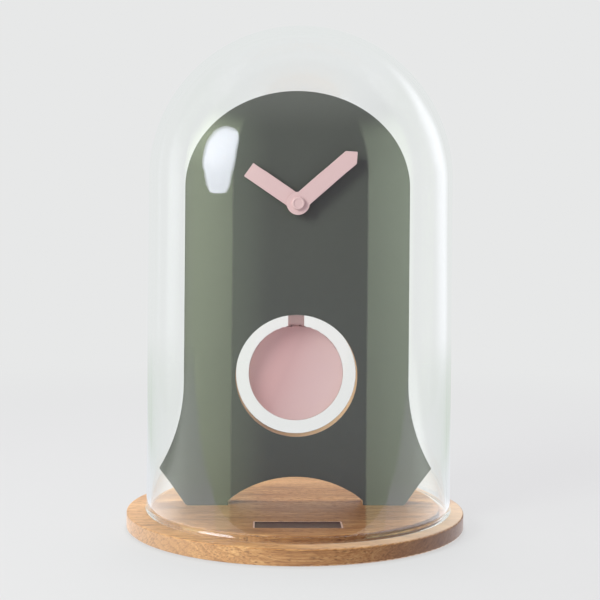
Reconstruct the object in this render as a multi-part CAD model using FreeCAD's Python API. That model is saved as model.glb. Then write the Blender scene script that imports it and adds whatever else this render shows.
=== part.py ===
import FreeCAD, Part
import math
import os

# A pendulum table clock that stands under a glass dome on an oak base, in millimetres.
# X runs to the right and Y to the back for someone who reads the clock, and Z runs up.
# The origin is the middle of the base, on the surface that the felt pads stand on.

# Overrun of every cut past the face that it starts from
overrun = 1.0

# Share by which a direction may miss being parallel
tiny_share = 1e-6

# Oak base
base_radius = 95.0
flange_height = 8.7
platform_radius = 81.0
platform_rise = 3.4
base_edge_round = 0.8
platform_edge_round = 0.5

# Felt pads under the base
pad_count = 4
pad_radius = 9.0
pad_thickness = 2.0
pad_proud = 0.5
pad_circle_radius = 74.0
pad_fit = 0.1

# Blank name plate sunk in the front of the platform
plate_width = 46.5
plate_depth = 16.2
plate_thickness = 1.6
plate_below_top = 0.2
plate_corner_round = 0.6
plate_rim = 0.8
plate_floor = 0.5
plate_insert_thickness = 0.4
plate_middle_y = -54.9
plate_fit = 0.1

# Board with its arched foot
core_thickness = 12.0
facing_thickness = 0.8
board_front_y = -8.3
board_half_width = 63.15
board_height = 232.5
crown_rise = 54.5
flare_start_height = 68.4
flare_radius = 92.7
tip_height = 20.25
tip_round = 0.6
foot_outer_half_width = 61.1
foot_inner_half_width = 37.9
foot_corner_round = 2.5
arch_radius = 61.5
arch_height = 15.5
window_radius = 34.3
window_height = 72.2
hand_axis_height = 169.0

# Screws and dowels that hold the feet on the base
screw_shank_radius = 2.0
screw_head_radius = 4.0
screw_length = 28.0
screw_head_sink = 1.0
screw_socket_radius = 1.3
screw_socket_depth = 1.6
screw_middle_x = 44.6
screw_fit = 0.05
dowel_radius = 3.0
dowel_length = 16.0
dowel_spacing = 9.6
dowel_end_gap = 0.5
dowel_fit = 0.05

# Glass dome
dome_radius = 85.75
dome_wall = 2.7
dome_crown_thickness = 3.2
dome_straight_height = 186.4
dome_rim_round = 0.8
dome_side_gap = 0.3

# Movement case, measured from the hand axis
web_thickness = 3.2
gasket_thickness = 0.8
gasket_radius = 9.0
case_half_width = 28.0
case_above_axis = 28.0
case_below_axis = 56.0
case_wall = 1.2
case_corner_round = 2.5
case_depth = 15.0
case_joint_depth = 9.3
drive_section_depth = 10.5
drive_section_height = 28.0
pocket_clearance = 1.2
tab_width = 8.0
tab_thickness = 0.8
tab_depth = 1.6
tab_root = 1.0
tab_offset = 14.0
tab_fit = 0.1

# Battery and its contacts
battery_radius = 7.25
battery_length = 50.5
battery_cap_radius = 2.75
battery_cap_length = 1.0
battery_edge_round = 0.6
battery_gap = 0.15
battery_window_margin = 0.6
contact_thickness = 0.4
contact_half_height = 5.0
contact_bump_radius = 2.0
contact_gap = 0.05

# Front bush, washer and nut
bush_radius = 4.0
bush_length = 9.1
bush_flange_radius = 5.6
bush_flange_thickness = 0.6
bush_fit = 0.1
washer_radius = 6.2
washer_thickness = 0.5
nut_across_flats = 10.5
nut_thickness = 2.0
nut_chamfer = 0.4

# Hands
hand_thickness = 1.0
hand_boss_radius = 6.45
hour_hand_length = 33.5
hour_hand_width = 9.2
minute_hand_length = 44.0
minute_hand_width = 9.5
hand_gap = 0.9
hour_collet_radius = 3.4
hour_collet_length = 0.5
cap_radius = 3.6
cap_height = 1.9
cap_dish_radius = 2.5
cap_dish_depth = 0.3
cap_edge_round = 0.6
shown_hours = 10
shown_hour_share = 0.1345

# Arbors and their running clearances
minute_arbor_radius = 1.5
minute_tip_radius = 1.1
minute_tip_length = 2.4
minute_tail_radius = 1.2
hour_pipe_wall = 0.95
running_fit = 0.05
pivot_radius = 0.5
post_radius = 1.3
post_gap = 0.3
pivot_reach = 0.8

# Setting knob behind the movement
knob_radius = 6.0
knob_thickness = 2.6
knob_gap = 0.6
knob_grip_radius = 0.5
knob_grips = 24

# Teeth
pressure_angle = math.radians(20)
tooth_share = 0.44
addendum_share = 0.82
dedendum_share = 1.2
hour_module = 0.30
centre_module = 0.25
third_module = 0.22
fourth_module = 0.25
fifth_module = 0.20
cannon_teeth = 12
minute_wheel_teeth = 36
minute_pinion_teeth = 10
hour_wheel_teeth = 40
centre_teeth = 64
third_teeth = 60
fourth_teeth = 40
fifth_teeth = 48
pinion_teeth = 8

# Wheels and their pinions
wheel_thickness = 0.8
pinion_overhang = 0.2
level_gap = 0.3
friction_spring_radius = 3.2
friction_spring_thickness = 0.25
centre_hub_radius = 2.6

# Directions from each arbor to the next, counted from +X towards +Z
minute_wheel_direction = math.radians(0)
third_direction = math.radians(60)
fourth_direction = math.radians(130)
fifth_direction = math.radians(200)
rotor_direction = math.radians(200)

# Bridge that holds the back pivots, on three posts round the train
bridge_thickness = 1.0
bridge_behind_wheels = 0.5
bridge_margin = 3.0
bridge_post_radius = 1.6
bridge_post_gap = 0.9
low_post_direction = math.radians(196)
right_post_direction = math.radians(30)
top_post_direction = math.radians(97)

# Stepping motor
rotor_radius = 2.5
rotor_length = 2.0
stator_thickness = 1.2
stator_eye_gap = 0.4
stator_eye_wall = 1.1
stator_arm_width = 3.0
stator_post_radius = 1.2
stator_side_gap = 0.4
coil_middle_x = -21.0
coil_radius = 3.9
coil_low_z = -4.0
coil_high_z = 20.0
bobbin_flange = 0.8
bobbin_wall = 0.6
core_overhang = 3.0

# Circuit board
circuit_thickness = 1.0
circuit_low_x = 15.0
circuit_high_x = 26.0
circuit_low_z = -7.5
circuit_high_z = 24.0
circuit_standoff = 0.9
circuit_post_radius = 1.2
chip_radius = 2.6
chip_height = 0.7
crystal_radius = 1.0
crystal_length = 6.0
crystal_middle_x = 22.0
crystal_middle_z = 16.0

# Pendulum drive
pivot_below_axis = 33.5
pendulum_arbor_radius = 1.0
drive_boss_radius = 2.2
lever_length = 14.2
lever_width = 4.0
lever_hub_radius = 3.0
lever_thickness = 1.4
lever_from_cover = 0.8
magnet_radius = 3.0
magnet_thickness = 1.8
magnet_cup_radius = 4.2
drive_coil_radius = 6.2
drive_coil_bore = 2.2
drive_coil_length = 1.6
drive_bobbin_flange = 0.4
drive_bobbin_flange_radius = 6.6

# Pendulum behind the board
bob_radius = 27.1
bob_thickness = 2.0
bob_behind_board = 1.0
bob_edge_round = 0.4
rod_width = 9.3
rod_thickness = 1.2
rod_lap = 16.0
hanger_radius = 3.0
hanger_gap = 0.4
hanger_peg_radius = 1.5
hanger_head_radius = 2.4
hanger_head_thickness = 0.6
hanger_fit = 0.05
keyhole_drop = 6.0
keyhole_clearance = 0.3

# Heights and depths that follow from the sizes above
base_bottom_z = pad_proud
ledge_z = base_bottom_z + flange_height
platform_z = ledge_z + platform_rise
core_front_y = board_front_y + facing_thickness
core_back_y = core_front_y + core_thickness
board_back_y = core_back_y + facing_thickness
board_middle_y = (board_front_y + board_back_y) / 2
axis_z = platform_z + hand_axis_height
window_z = platform_z + window_height
pocket_floor_y = core_front_y + web_thickness
case_front_y = pocket_floor_y + gasket_thickness
inner_front_y = case_front_y + case_wall
joint_y = case_front_y + case_joint_depth
case_back_y = case_front_y + case_depth
inner_back_y = case_back_y - case_wall
drive_back_y = case_front_y + drive_section_depth
case_top_z = axis_z + case_above_axis
case_bottom_z = axis_z - case_below_axis
drive_top_z = case_bottom_z + drive_section_height
inner_half_width = case_half_width - case_wall
battery_z = drive_top_z + case_wall + battery_gap + battery_radius
battery_y = inner_front_y + battery_gap + battery_radius
battery_roof_z = battery_z + battery_radius + battery_gap
washer_front_y = board_front_y - washer_thickness
nut_front_y = washer_front_y - nut_thickness
bush_front_y = inner_front_y + bush_flange_thickness - bush_length
pipe_radius = minute_arbor_radius + running_fit + hour_pipe_wall
hour_hand_back_y = bush_front_y - hand_gap
hour_hand_front_y = hour_hand_back_y - hand_thickness
minute_hand_back_y = hour_hand_front_y - hand_gap
minute_hand_front_y = minute_hand_back_y - hand_thickness
minute_angle = 360 * shown_hour_share
hour_angle = 360 * (shown_hours + shown_hour_share) / 12
dome_shift_x = dome_radius - dome_wall - platform_radius - dome_side_gap
pivot_z = axis_z - pivot_below_axis
magnet_z = pivot_z - lever_length
cover_inner_y = drive_back_y - case_wall
lever_back_y = cover_inner_y - lever_from_cover
lever_front_y = lever_back_y - lever_thickness
magnet_front_y = lever_front_y - magnet_thickness
bob_front_y = board_back_y + bob_behind_board
bob_back_y = bob_front_y + bob_thickness
rod_back_y = bob_back_y + rod_thickness

# How far each wheel, and the rotor, lies behind the inner face of the front case
hour_wheel_level = bush_flange_thickness + level_gap
cannon_level = hour_wheel_level + wheel_thickness + pinion_overhang + level_gap
centre_level = cannon_level + wheel_thickness + 2 * pinion_overhang + level_gap
friction_spring_level = centre_level + wheel_thickness + running_fit
third_level = friction_spring_level + friction_spring_thickness + level_gap
fourth_level = third_level + wheel_thickness + pinion_overhang + level_gap
fifth_level = fourth_level + wheel_thickness + pinion_overhang + level_gap
rotor_level = fifth_level - pinion_overhang - level_gap - rotor_length
bridge_front_y = inner_front_y + fifth_level + wheel_thickness + pinion_overhang + bridge_behind_wheels
bridge_back_y = bridge_front_y + bridge_thickness

# The two pairs of the motion work share one centre distance, which sets the second module
motion_distance = hour_module * (minute_pinion_teeth + hour_wheel_teeth) / 2
cannon_module = 2 * motion_distance / (cannon_teeth + minute_wheel_teeth)


def V(x, y, z):
    return FreeCAD.Vector(x, y, z)


def block(x0, x1, y0, y1, z0, z1):
    return Part.makeBox(x1 - x0, y1 - y0, z1 - z0, V(x0, y0, z0))


def rod_along_y(radius, y0, y1, x=0, z=0):
    return Part.makeCylinder(radius, y1 - y0, V(x, y0, z), V(0, 1, 0))


def rod_along_z(radius, z0, z1, x=0, y=0):
    return Part.makeCylinder(radius, z1 - z0, V(x, y, z0), V(0, 0, 1))


def ring_along_y(outer, inner, y0, y1, x=0, z=0):
    bore = rod_along_y(inner, y0 - overrun, y1 + overrun, x, z)
    return rod_along_y(outer, y0, y1, x, z).cut(bore)


def upright(face, y0, y1):
    """Stands a face drawn in the XY plane up in the XZ plane and gives it depth from y0 to y1."""
    face.rotate(V(0, 0, 0), V(1, 0, 0), 90)
    face.translate(V(0, y0, 0))
    return face.extrude(V(0, y1 - y0, 0))


def round_edges_along(solid, direction, radius, wanted):
    """Rounds the straight edges that run along a direction and whose middle is wanted."""
    chosen = []
    for edge in solid.Edges:
        if not isinstance(edge.Curve, Part.Line):
            continue
        if abs(abs(edge.Curve.Direction.dot(direction)) - 1) > tiny_share:
            continue
        if wanted(edge.CenterOfMass):
            chosen.append(edge)
    return solid.makeFillet(radius, chosen) if chosen else solid


def revolve_profile(points_and_arcs):
    """Turns a closed profile of (radius, height) lines and three-point arcs about the Z axis."""
    edges = []
    for kind, *points in points_and_arcs:
        corners = [V(r, 0, z) for r, z in points]
        if kind == "line":
            edges.append(Part.LineSegment(*corners).toShape())
        else:
            edges.append(Part.Arc(*corners).toShape())
    face = Part.Face(Part.Wire(edges))
    return face.revolve(V(0, 0, 0), V(0, 0, 1), 360)


def quarter_middle(centre_r, centre_z, radius, r_sign, z_sign):
    """The middle point of a quarter arc about a centre, on the side that the signs give."""
    reach = radius * math.sqrt(1 / 2)
    return (centre_r + r_sign * reach, centre_z + z_sign * reach)


# Oak base

def base_blank():
    e = base_edge_round
    p = platform_edge_round
    r = base_radius
    low, ledge, top = base_bottom_z, ledge_z, platform_z
    return revolve_profile([
        ("line", (0, low), (r - e, low)),
        ("arc", (r - e, low), quarter_middle(r - e, low + e, e, 1, -1), (r, low + e)),
        ("line", (r, low + e), (r, ledge - e)),
        ("arc", (r, ledge - e), quarter_middle(r - e, ledge - e, e, 1, 1), (r - e, ledge)),
        ("line", (r - e, ledge), (platform_radius, ledge)),
        ("line", (platform_radius, ledge), (platform_radius, top - p)),
        ("arc", (platform_radius, top - p),
         quarter_middle(platform_radius - p, top - p, p, 1, 1), (platform_radius - p, top)),
        ("line", (platform_radius - p, top), (0, top)),
        ("line", (0, top), (0, low)),
    ])


def pad_places():
    for i in range(pad_count):
        turn = 2 * math.pi * (i + 1 / 2) / pad_count
        yield pad_circle_radius * math.cos(turn), pad_circle_radius * math.sin(turn)


def plate_blank(margin, z0, z1):
    half_w = plate_width / 2 + margin
    half_d = plate_depth / 2 + margin
    solid = block(-half_w, half_w, plate_middle_y - half_d, plate_middle_y + half_d, z0, z1)
    return round_edges_along(solid, V(0, 0, 1), plate_corner_round, lambda p: True)


def oak_base():
    solid = base_blank()
    for x, y in pad_places():
        solid = solid.cut(rod_along_z(pad_radius + pad_fit, 0, pad_thickness, x, y))
    recess_floor = platform_z - plate_below_top - plate_thickness
    solid = solid.cut(plate_blank(plate_fit, recess_floor, platform_z + overrun))
    for side in (-1, 1):
        solid = solid.cut(screw_hole(side)).cut(dowel_hole(side))
    return solid


def felt_pad(x, y):
    return rod_along_z(pad_radius, 0, pad_thickness, x, y)


def name_plate():
    top = platform_z - plate_below_top
    solid = plate_blank(0, top - plate_thickness, top)
    return solid.cut(plate_blank(-plate_rim, top - plate_thickness + plate_floor, top + overrun))


def plate_insert():
    floor_z = platform_z - plate_below_top - plate_thickness + plate_floor
    return plate_blank(-plate_rim, floor_z, floor_z + plate_insert_thickness)


# Screws and dowels

def screw_axis_z():
    return base_bottom_z + screw_head_sink


def screw_solid(side, margin):
    """A countersunk screw that points up, grown by a margin."""
    x = side * screw_middle_x
    low = screw_axis_z()
    head_height = screw_head_radius - screw_shank_radius
    head = Part.makeCone(screw_head_radius + margin, screw_shank_radius + margin, head_height,
                         V(x, board_middle_y, low))
    shank = rod_along_z(screw_shank_radius + margin, low, low + screw_length - screw_shank_radius,
                        x, board_middle_y)
    point = Part.makeCone(screw_shank_radius + margin, 0, screw_shank_radius,
                          V(x, board_middle_y, low + screw_length - screw_shank_radius))
    return head.fuse([shank, point]).removeSplitter()


def screw_hole(side):
    x = side * screw_middle_x
    well = rod_along_z(screw_head_radius + screw_fit, 0, screw_axis_z(), x, board_middle_y)
    return screw_solid(side, screw_fit).fuse(well)


def board_screws():
    socket_top = screw_axis_z() + screw_socket_depth
    screws = []
    for side in (-1, 1):
        x = side * screw_middle_x
        socket = rod_along_z(screw_socket_radius, 0, socket_top, x, board_middle_y)
        screws.append(screw_solid(side, 0).cut(socket))
    return Part.makeCompound(screws)


def dowel_x(side):
    return side * (screw_middle_x + dowel_spacing)


def dowel_hole(side):
    half = dowel_length / 2 + dowel_end_gap
    return rod_along_z(dowel_radius + dowel_fit, platform_z - half, platform_z + half,
                       dowel_x(side), board_middle_y)


def foot_dowels():
    half = dowel_length / 2
    return Part.makeCompound([
        rod_along_z(dowel_radius, platform_z - half, platform_z + half, dowel_x(side), board_middle_y)
        for side in (-1, 1)
    ])


# Board

def half_outline(side):
    """The board's outline on one side, from the crown's top to the arch's top."""
    spring_z = platform_z + board_height - crown_rise
    flare_z = platform_z + flare_start_height
    tip_z = platform_z + tip_height
    flare_centre_x = board_half_width + flare_radius
    tip_x = flare_centre_x - math.sqrt(flare_radius ** 2 - (flare_z - tip_z) ** 2)
    bend_z = (flare_z + tip_z) / 2
    bend_x = flare_centre_x - math.sqrt(flare_radius ** 2 - (flare_z - bend_z) ** 2)
    arch_z = platform_z + arch_height
    arch_end_z = arch_z - arch_radius + math.sqrt(arch_radius ** 2 - foot_inner_half_width ** 2)
    arch_x = foot_inner_half_width / 2
    arch_mid_z = arch_z - arch_radius + math.sqrt(arch_radius ** 2 - arch_x ** 2)

    def at(x, z):
        return V(side * x, z, 0)

    return [
        crown_arc(side, spring_z),
        Part.LineSegment(at(board_half_width, spring_z), at(board_half_width, flare_z)).toShape(),
        Part.Arc(at(board_half_width, flare_z), at(bend_x, bend_z), at(tip_x, tip_z)).toShape(),
        Part.LineSegment(at(tip_x, tip_z), at(foot_outer_half_width, platform_z)).toShape(),
        Part.LineSegment(at(foot_outer_half_width, platform_z),
                         at(foot_inner_half_width, platform_z)).toShape(),
        Part.LineSegment(at(foot_inner_half_width, platform_z),
                         at(foot_inner_half_width, arch_end_z)).toShape(),
        Part.Arc(at(foot_inner_half_width, arch_end_z), at(arch_x, arch_mid_z), at(0, arch_z)).toShape(),
    ]


def crown_arc(side, spring_z):
    """A quarter of the half ellipse that closes the board's top."""
    wide = board_half_width > crown_rise
    long_half, short_half = max(board_half_width, crown_rise), min(board_half_width, crown_rise)
    curve = Part.Ellipse(V(0, spring_z, 0), long_half, short_half)
    if not wide:
        curve.rotate(FreeCAD.Placement(V(0, spring_z, 0), FreeCAD.Rotation(V(0, 0, 1), 90)))
    start = curve.parameter(V(side * board_half_width, spring_z, 0))
    end = curve.parameter(V(0, spring_z + crown_rise, 0))
    low, high = min(start, end), max(start, end)
    if high - low > math.pi:
        low, high = high, low + 2 * math.pi
    return Part.ArcOfEllipse(curve, low, high).toShape()


def board_sheet(y0, y1):
    """One full layer of the board, from y0 to y1, with its arch and its round window."""
    edges = half_outline(1) + half_outline(-1)[::-1]
    wire = Part.Wire(edges)
    solid = upright(Part.Face(wire), y0, y1)
    foot_z = platform_z
    tip_z = platform_z + tip_height
    near = min(foot_corner_round, tip_height / 2)
    solid = round_edges_along(solid, V(0, 1, 0), foot_corner_round,
                              lambda p: p.z < foot_z + near and abs(p.x) > foot_outer_half_width - near)
    solid = round_edges_along(solid, V(0, 1, 0), tip_round,
                              lambda p: abs(p.z - tip_z) < near and abs(p.x) > foot_outer_half_width)
    return solid.cut(rod_along_y(window_radius, y0 - overrun, y1 + overrun, 0, window_z))


def bush_bore(y0, y1):
    return rod_along_y(bush_radius + bush_fit, y0 - overrun, y1 + overrun, 0, axis_z)


def pocket():
    """The pocket for the movement, routed from the back."""
    c = pocket_clearance
    solid = block(-case_half_width - c, case_half_width + c, pocket_floor_y, board_back_y + overrun,
                  case_bottom_z - c, case_top_z + c)
    return round_edges_along(solid, V(0, 1, 0), case_corner_round + c, lambda p: True)


def board_core():
    solid = board_sheet(core_front_y, core_back_y)
    solid = solid.cut(pocket()).cut(bush_bore(core_front_y, pocket_floor_y))
    for side in (-1, 1):
        solid = solid.cut(screw_hole(side)).cut(dowel_hole(side))
    return solid


def board_front_facing():
    return board_sheet(board_front_y, core_front_y).cut(bush_bore(board_front_y, core_front_y))


def board_back_facing():
    return board_sheet(core_back_y, board_back_y).cut(pocket())


# Glass dome

def glass_dome():
    outer, inner = dome_radius, dome_radius - dome_wall
    low = ledge_z
    spring = ledge_z + dome_straight_height
    crown = spring + dome_crown_thickness - dome_wall
    e = min(dome_rim_round, dome_wall / 3)
    slope = math.sqrt(1 / 2)
    solid = revolve_profile([
        ("line", (outer, low + e), (outer, crown)),
        ("arc", (outer, crown), (outer * slope, crown + outer * slope), (0, crown + outer)),
        ("line", (0, crown + outer), (0, spring + inner)),
        ("arc", (0, spring + inner), (inner * slope, spring + inner * slope), (inner, spring)),
        ("line", (inner, spring), (inner, low + e)),
        ("arc", (inner, low + e), quarter_middle(inner + e, low + e, e, -1, -1), (inner + e, low)),
        ("line", (inner + e, low), (outer - e, low)),
        ("arc", (outer - e, low), quarter_middle(outer - e, low + e, e, 1, -1), (outer, low + e)),
    ])
    solid.translate(V(dome_shift_x, 0, 0))
    return solid


# Movement case

def case_block(y0, y1, margin, low=case_bottom_z, high=case_top_z):
    """The case's outline between two heights, shrunk by a margin."""
    half = case_half_width - margin
    return block(-half, half, y0, y1, low + margin, high - margin)


def battery_shelf(low_z, y0, y1):
    """A wall across the case, under or over the battery."""
    return block(-inner_half_width, inner_half_width, y0, y1, low_z, low_z + case_wall)


def post_with_pivot(x, z, top_y):
    """A post on the front case with a blind hole for a front pivot."""
    solid = rod_along_y(post_radius, inner_front_y, top_y, x, z)
    hole = rod_along_y(pivot_radius + running_fit, top_y - pivot_reach - running_fit, top_y + overrun, x, z)
    return solid.cut(hole)


def front_case():
    outline = case_block(case_front_y, joint_y, 0)
    outline = round_edges_along(outline, V(0, 1, 0), case_corner_round, lambda p: True)
    solid = outline.cut(case_block(inner_front_y, joint_y + overrun, case_wall))
    shelves = [battery_shelf(z, inner_front_y, joint_y) for z in (drive_top_z, battery_roof_z)]
    posts = train_posts() + bridge_posts() + circuit_posts() + stator_posts()
    solid = solid.fuse(shelves + posts + [minute_stud(), drive_post()])
    return solid.cut(bush_bore(case_front_y, inner_front_y)).removeSplitter()


def minute_stud():
    """The fixed stud that the minute wheel turns on."""
    return rod_along_y(pivot_radius, inner_front_y, gear_back_y(cannon_level) + pinion_overhang,
                       minute_wheel_x, minute_wheel_z)


def drive_post():
    """The boss that holds the front end of the pendulum's arbor."""
    top_y = lever_front_y - post_gap
    solid = rod_along_y(drive_boss_radius, inner_front_y, top_y, 0, pivot_z)
    bore = rod_along_y(pendulum_arbor_radius + running_fit, inner_front_y, top_y + overrun, 0, pivot_z)
    return solid.cut(bore)


def cover_tabs():
    """Tongues that hold the back cover in the front case."""
    wall_z = case_top_z - case_wall
    inner_z = wall_z - tab_fit - tab_thickness
    inner_x = inner_half_width - tab_fit - tab_thickness
    side_z = (case_bottom_z + drive_top_z) / 2
    half = tab_width / 2
    tabs = []
    for y0, y1, fit in ((joint_y - tab_depth, joint_y, tab_fit), (joint_y, joint_y + tab_root, 0)):
        for side in (-1, 1):
            x = side * tab_offset
            tabs.append(block(x - half, x + half, y0, y1, inner_z, wall_z - fit))
            x0, x1 = sorted((side * inner_x, side * (inner_half_width - fit)))
            tabs.append(block(x0, x1, y0, y1, side_z - half, side_z + half))
    return tabs


def rear_cover():
    deep = case_block(joint_y, case_back_y, 0, drive_top_z)
    deep = round_edges_along(deep, V(0, 1, 0), case_corner_round, lambda p: p.z > axis_z)
    room = case_block(joint_y - overrun, inner_back_y, case_wall, drive_top_z)
    shallow = case_block(joint_y, drive_back_y, 0, case_bottom_z, drive_top_z + case_wall)
    shallow = round_edges_along(shallow, V(0, 1, 0), case_corner_round, lambda p: p.z < pivot_z)
    drive_room = case_block(joint_y - overrun, cover_inner_y, case_wall, case_bottom_z)
    drive_room = drive_room.common(case_block(joint_y - overrun, cover_inner_y, 0, case_bottom_z, drive_top_z))
    solid = deep.fuse(shallow).cut(room).cut(drive_room)
    solid = solid.fuse([battery_shelf(battery_roof_z, joint_y, inner_back_y)] + cover_tabs())
    half = battery_length / 2 + battery_window_margin
    window = block(-half, half, inner_back_y - overrun, case_back_y + overrun,
                   battery_z - battery_radius, battery_z + battery_radius)
    solid = solid.cut(window)
    solid = solid.cut(rod_along_y(minute_tail_radius + running_fit, joint_y, case_back_y + overrun, 0, axis_z))
    return solid.cut(rod_along_y(pendulum_arbor_radius + running_fit, joint_y - overrun,
                                 drive_back_y + overrun, 0, pivot_z)).removeSplitter()


# Battery and contacts

def battery():
    half = battery_length / 2
    body_length = battery_length - battery_cap_length
    start = V(-half, battery_y, battery_z)
    body = Part.makeCylinder(battery_radius, body_length, start, V(1, 0, 0))
    body = body.makeFillet(battery_edge_round,
                           [e for e in body.Edges if isinstance(e.Curve, Part.Circle)])
    cap = Part.makeCylinder(battery_cap_radius, battery_length - battery_radius,
                            V(-half + battery_radius, battery_y, battery_z), V(1, 0, 0))
    return body.fuse(cap).removeSplitter()


def battery_contact(side):
    """A sprung plate against the end wall, with a pressed bump that meets the battery."""
    wall_x = inner_half_width
    face_x = wall_x - contact_thickness
    x0, x1 = sorted((side * wall_x, side * face_x))
    plate = block(x0, x1, battery_y - contact_half_height, battery_y + contact_half_height,
                  battery_z - contact_half_height, battery_z + contact_half_height)
    bump_length = face_x - battery_length / 2 - contact_gap
    bump = Part.makeCone(contact_bump_radius, contact_bump_radius / 2, bump_length,
                         V(side * face_x, battery_y, battery_z), V(-side, 0, 0))
    return plate.fuse(bump)


# Front bush, gasket, washer and nut

def gasket():
    return ring_along_y(gasket_radius, bush_radius + bush_fit, pocket_floor_y, case_front_y, 0, axis_z)


def threaded_bush():
    back_y = inner_front_y + bush_flange_thickness
    stem = rod_along_y(bush_radius, bush_front_y, inner_front_y, 0, axis_z)
    flange = rod_along_y(bush_flange_radius, inner_front_y, back_y, 0, axis_z)
    bore = rod_along_y(pipe_radius + running_fit, bush_front_y - overrun, back_y + overrun, 0, axis_z)
    return stem.fuse(flange).cut(bore)


def washer():
    return ring_along_y(washer_radius, bush_radius + bush_fit, washer_front_y, board_front_y, 0, axis_z)


def hex_nut():
    corner = nut_across_flats / math.sqrt(3)
    corners = [V(corner * math.cos(i * math.pi / 3), corner * math.sin(i * math.pi / 3), 0) for i in range(6)]
    face = Part.Face(Part.makePolygon(corners + corners[:1]))
    solid = upright(face, nut_front_y, washer_front_y)
    solid.translate(V(0, 0, axis_z))
    cone_radius = corner + nut_chamfer
    dome = Part.makeCone(corner - nut_chamfer, cone_radius + nut_thickness - nut_chamfer,
                         nut_thickness + nut_chamfer, V(0, nut_front_y, axis_z), V(0, 1, 0))
    return solid.common(dome).cut(rod_along_y(bush_radius, nut_front_y - overrun, washer_front_y + overrun,
                                              0, axis_z))


# Gears

def involute(angle):
    return math.tan(angle) - angle


def tooth_half_angle(radius, teeth, module):
    """Half the angle that a tooth spans at a radius."""
    pitch_radius = module * teeth / 2
    base_circle = pitch_radius * math.cos(pressure_angle)
    slope = math.acos(min(1, base_circle / radius))
    return math.pi * tooth_share / teeth + involute(pressure_angle) - involute(slope)


def tip_radius(teeth, module):
    return module * (teeth / 2 + addendum_share)


def root_radius(teeth, module):
    return module * (teeth / 2 - dedendum_share)


def gear(teeth, module, phase, y0, y1, x=0, z=0):
    """A toothed disc about an axis along Y, with one tooth at the phase angle."""
    root, tip = root_radius(teeth, module), tip_radius(teeth, module)
    pitch_radius = module * teeth / 2
    radii = [root, pitch_radius, (pitch_radius + tip) / 2, tip]
    flank = [(r, tooth_half_angle(r, teeth, module)) for r in radii]
    corners = []
    for i in range(teeth):
        middle = phase + 2 * math.pi * i / teeth
        sides = [(r, middle - half) for r, half in flank]
        sides += [(r, middle + half) for r, half in reversed(flank)]
        corners += [V(r * math.cos(a), r * math.sin(a), 0) for r, a in sides]
    solid = upright(Part.Face(Part.makePolygon(corners + corners[:1])), y0, y1)
    solid.translate(V(x, 0, z))
    return solid


def meshed_phase(phase, direction, teeth, next_teeth):
    """The phase of the next gear, which lies in a direction from a gear of a known phase."""
    return direction + math.pi - (phase - direction) * teeth / next_teeth + math.pi / next_teeth


def gear_front_y(level):
    return inner_front_y + level


def gear_back_y(level):
    return gear_front_y(level) + wheel_thickness


def wheel_disc(teeth, module, phase, level, x, z):
    return gear(teeth, module, phase, gear_front_y(level), gear_back_y(level), x, z)


def pinion_body(teeth, module, phase, level, x, z):
    """A pinion that overhangs the wheel at its level on both faces."""
    return gear(teeth, module, phase, gear_front_y(level) - pinion_overhang,
                gear_back_y(level) + pinion_overhang, x, z)


def step(x, z, distance, direction):
    return x + distance * math.cos(direction), z + distance * math.sin(direction)


def pair_distance(wheel_teeth, module):
    return module * (wheel_teeth + pinion_teeth) / 2


minute_wheel_x, minute_wheel_z = step(0, axis_z, motion_distance, minute_wheel_direction)
third_x, third_z = step(0, axis_z, pair_distance(centre_teeth, centre_module), third_direction)
fourth_x, fourth_z = step(third_x, third_z, pair_distance(third_teeth, third_module), fourth_direction)
fifth_x, fifth_z = step(fourth_x, fourth_z, pair_distance(fourth_teeth, fourth_module), fifth_direction)
rotor_x, rotor_z = step(fifth_x, fifth_z, pair_distance(fifth_teeth, fifth_module), rotor_direction)

minute_wheel_phase = meshed_phase(0, minute_wheel_direction, cannon_teeth, minute_wheel_teeth)
hour_wheel_phase = meshed_phase(0, minute_wheel_direction + math.pi, minute_pinion_teeth, hour_wheel_teeth)
third_pinion_phase = meshed_phase(0, third_direction, centre_teeth, pinion_teeth)
fourth_pinion_phase = meshed_phase(0, fourth_direction, third_teeth, pinion_teeth)
fifth_pinion_phase = meshed_phase(0, fifth_direction, fourth_teeth, pinion_teeth)
rotor_pinion_phase = meshed_phase(0, rotor_direction, fifth_teeth, pinion_teeth)


def train_wheel(wheel, pinion, x, z, pinion_level):
    """A wheel and its pinion on one arbor, which turns between its post and the bridge."""
    low = post_top_y(pinion_level) - pivot_reach
    arbor = rod_along_y(pivot_radius, low, bridge_back_y, x, z)
    return wheel.fuse([pinion, arbor]).removeSplitter()


def post_top_y(pinion_level):
    return gear_front_y(pinion_level) - pinion_overhang - post_gap


def train_posts():
    posts = [
        (third_x, third_z, post_top_y(centre_level)),
        (fourth_x, fourth_z, post_top_y(third_level)),
        (fifth_x, fifth_z, post_top_y(fourth_level)),
        (rotor_x, rotor_z, gear_front_y(rotor_level) - post_gap),
    ]
    return [post_with_pivot(x, z, top) for x, z, top in posts]


def sleeve_between(x, z, radius, level_a, level_b):
    """A plain hub that joins a pinion to the wheel behind it."""
    return rod_along_y(radius, gear_front_y(level_a), gear_back_y(level_b), x, z)


def third_wheel():
    wheel = wheel_disc(third_teeth, third_module, 0, third_level, third_x, third_z)
    pinion = pinion_body(pinion_teeth, centre_module, third_pinion_phase, centre_level, third_x, third_z)
    hub = sleeve_between(third_x, third_z, root_radius(pinion_teeth, centre_module), centre_level, third_level)
    return train_wheel(wheel, pinion.fuse(hub), third_x, third_z, centre_level)


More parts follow.
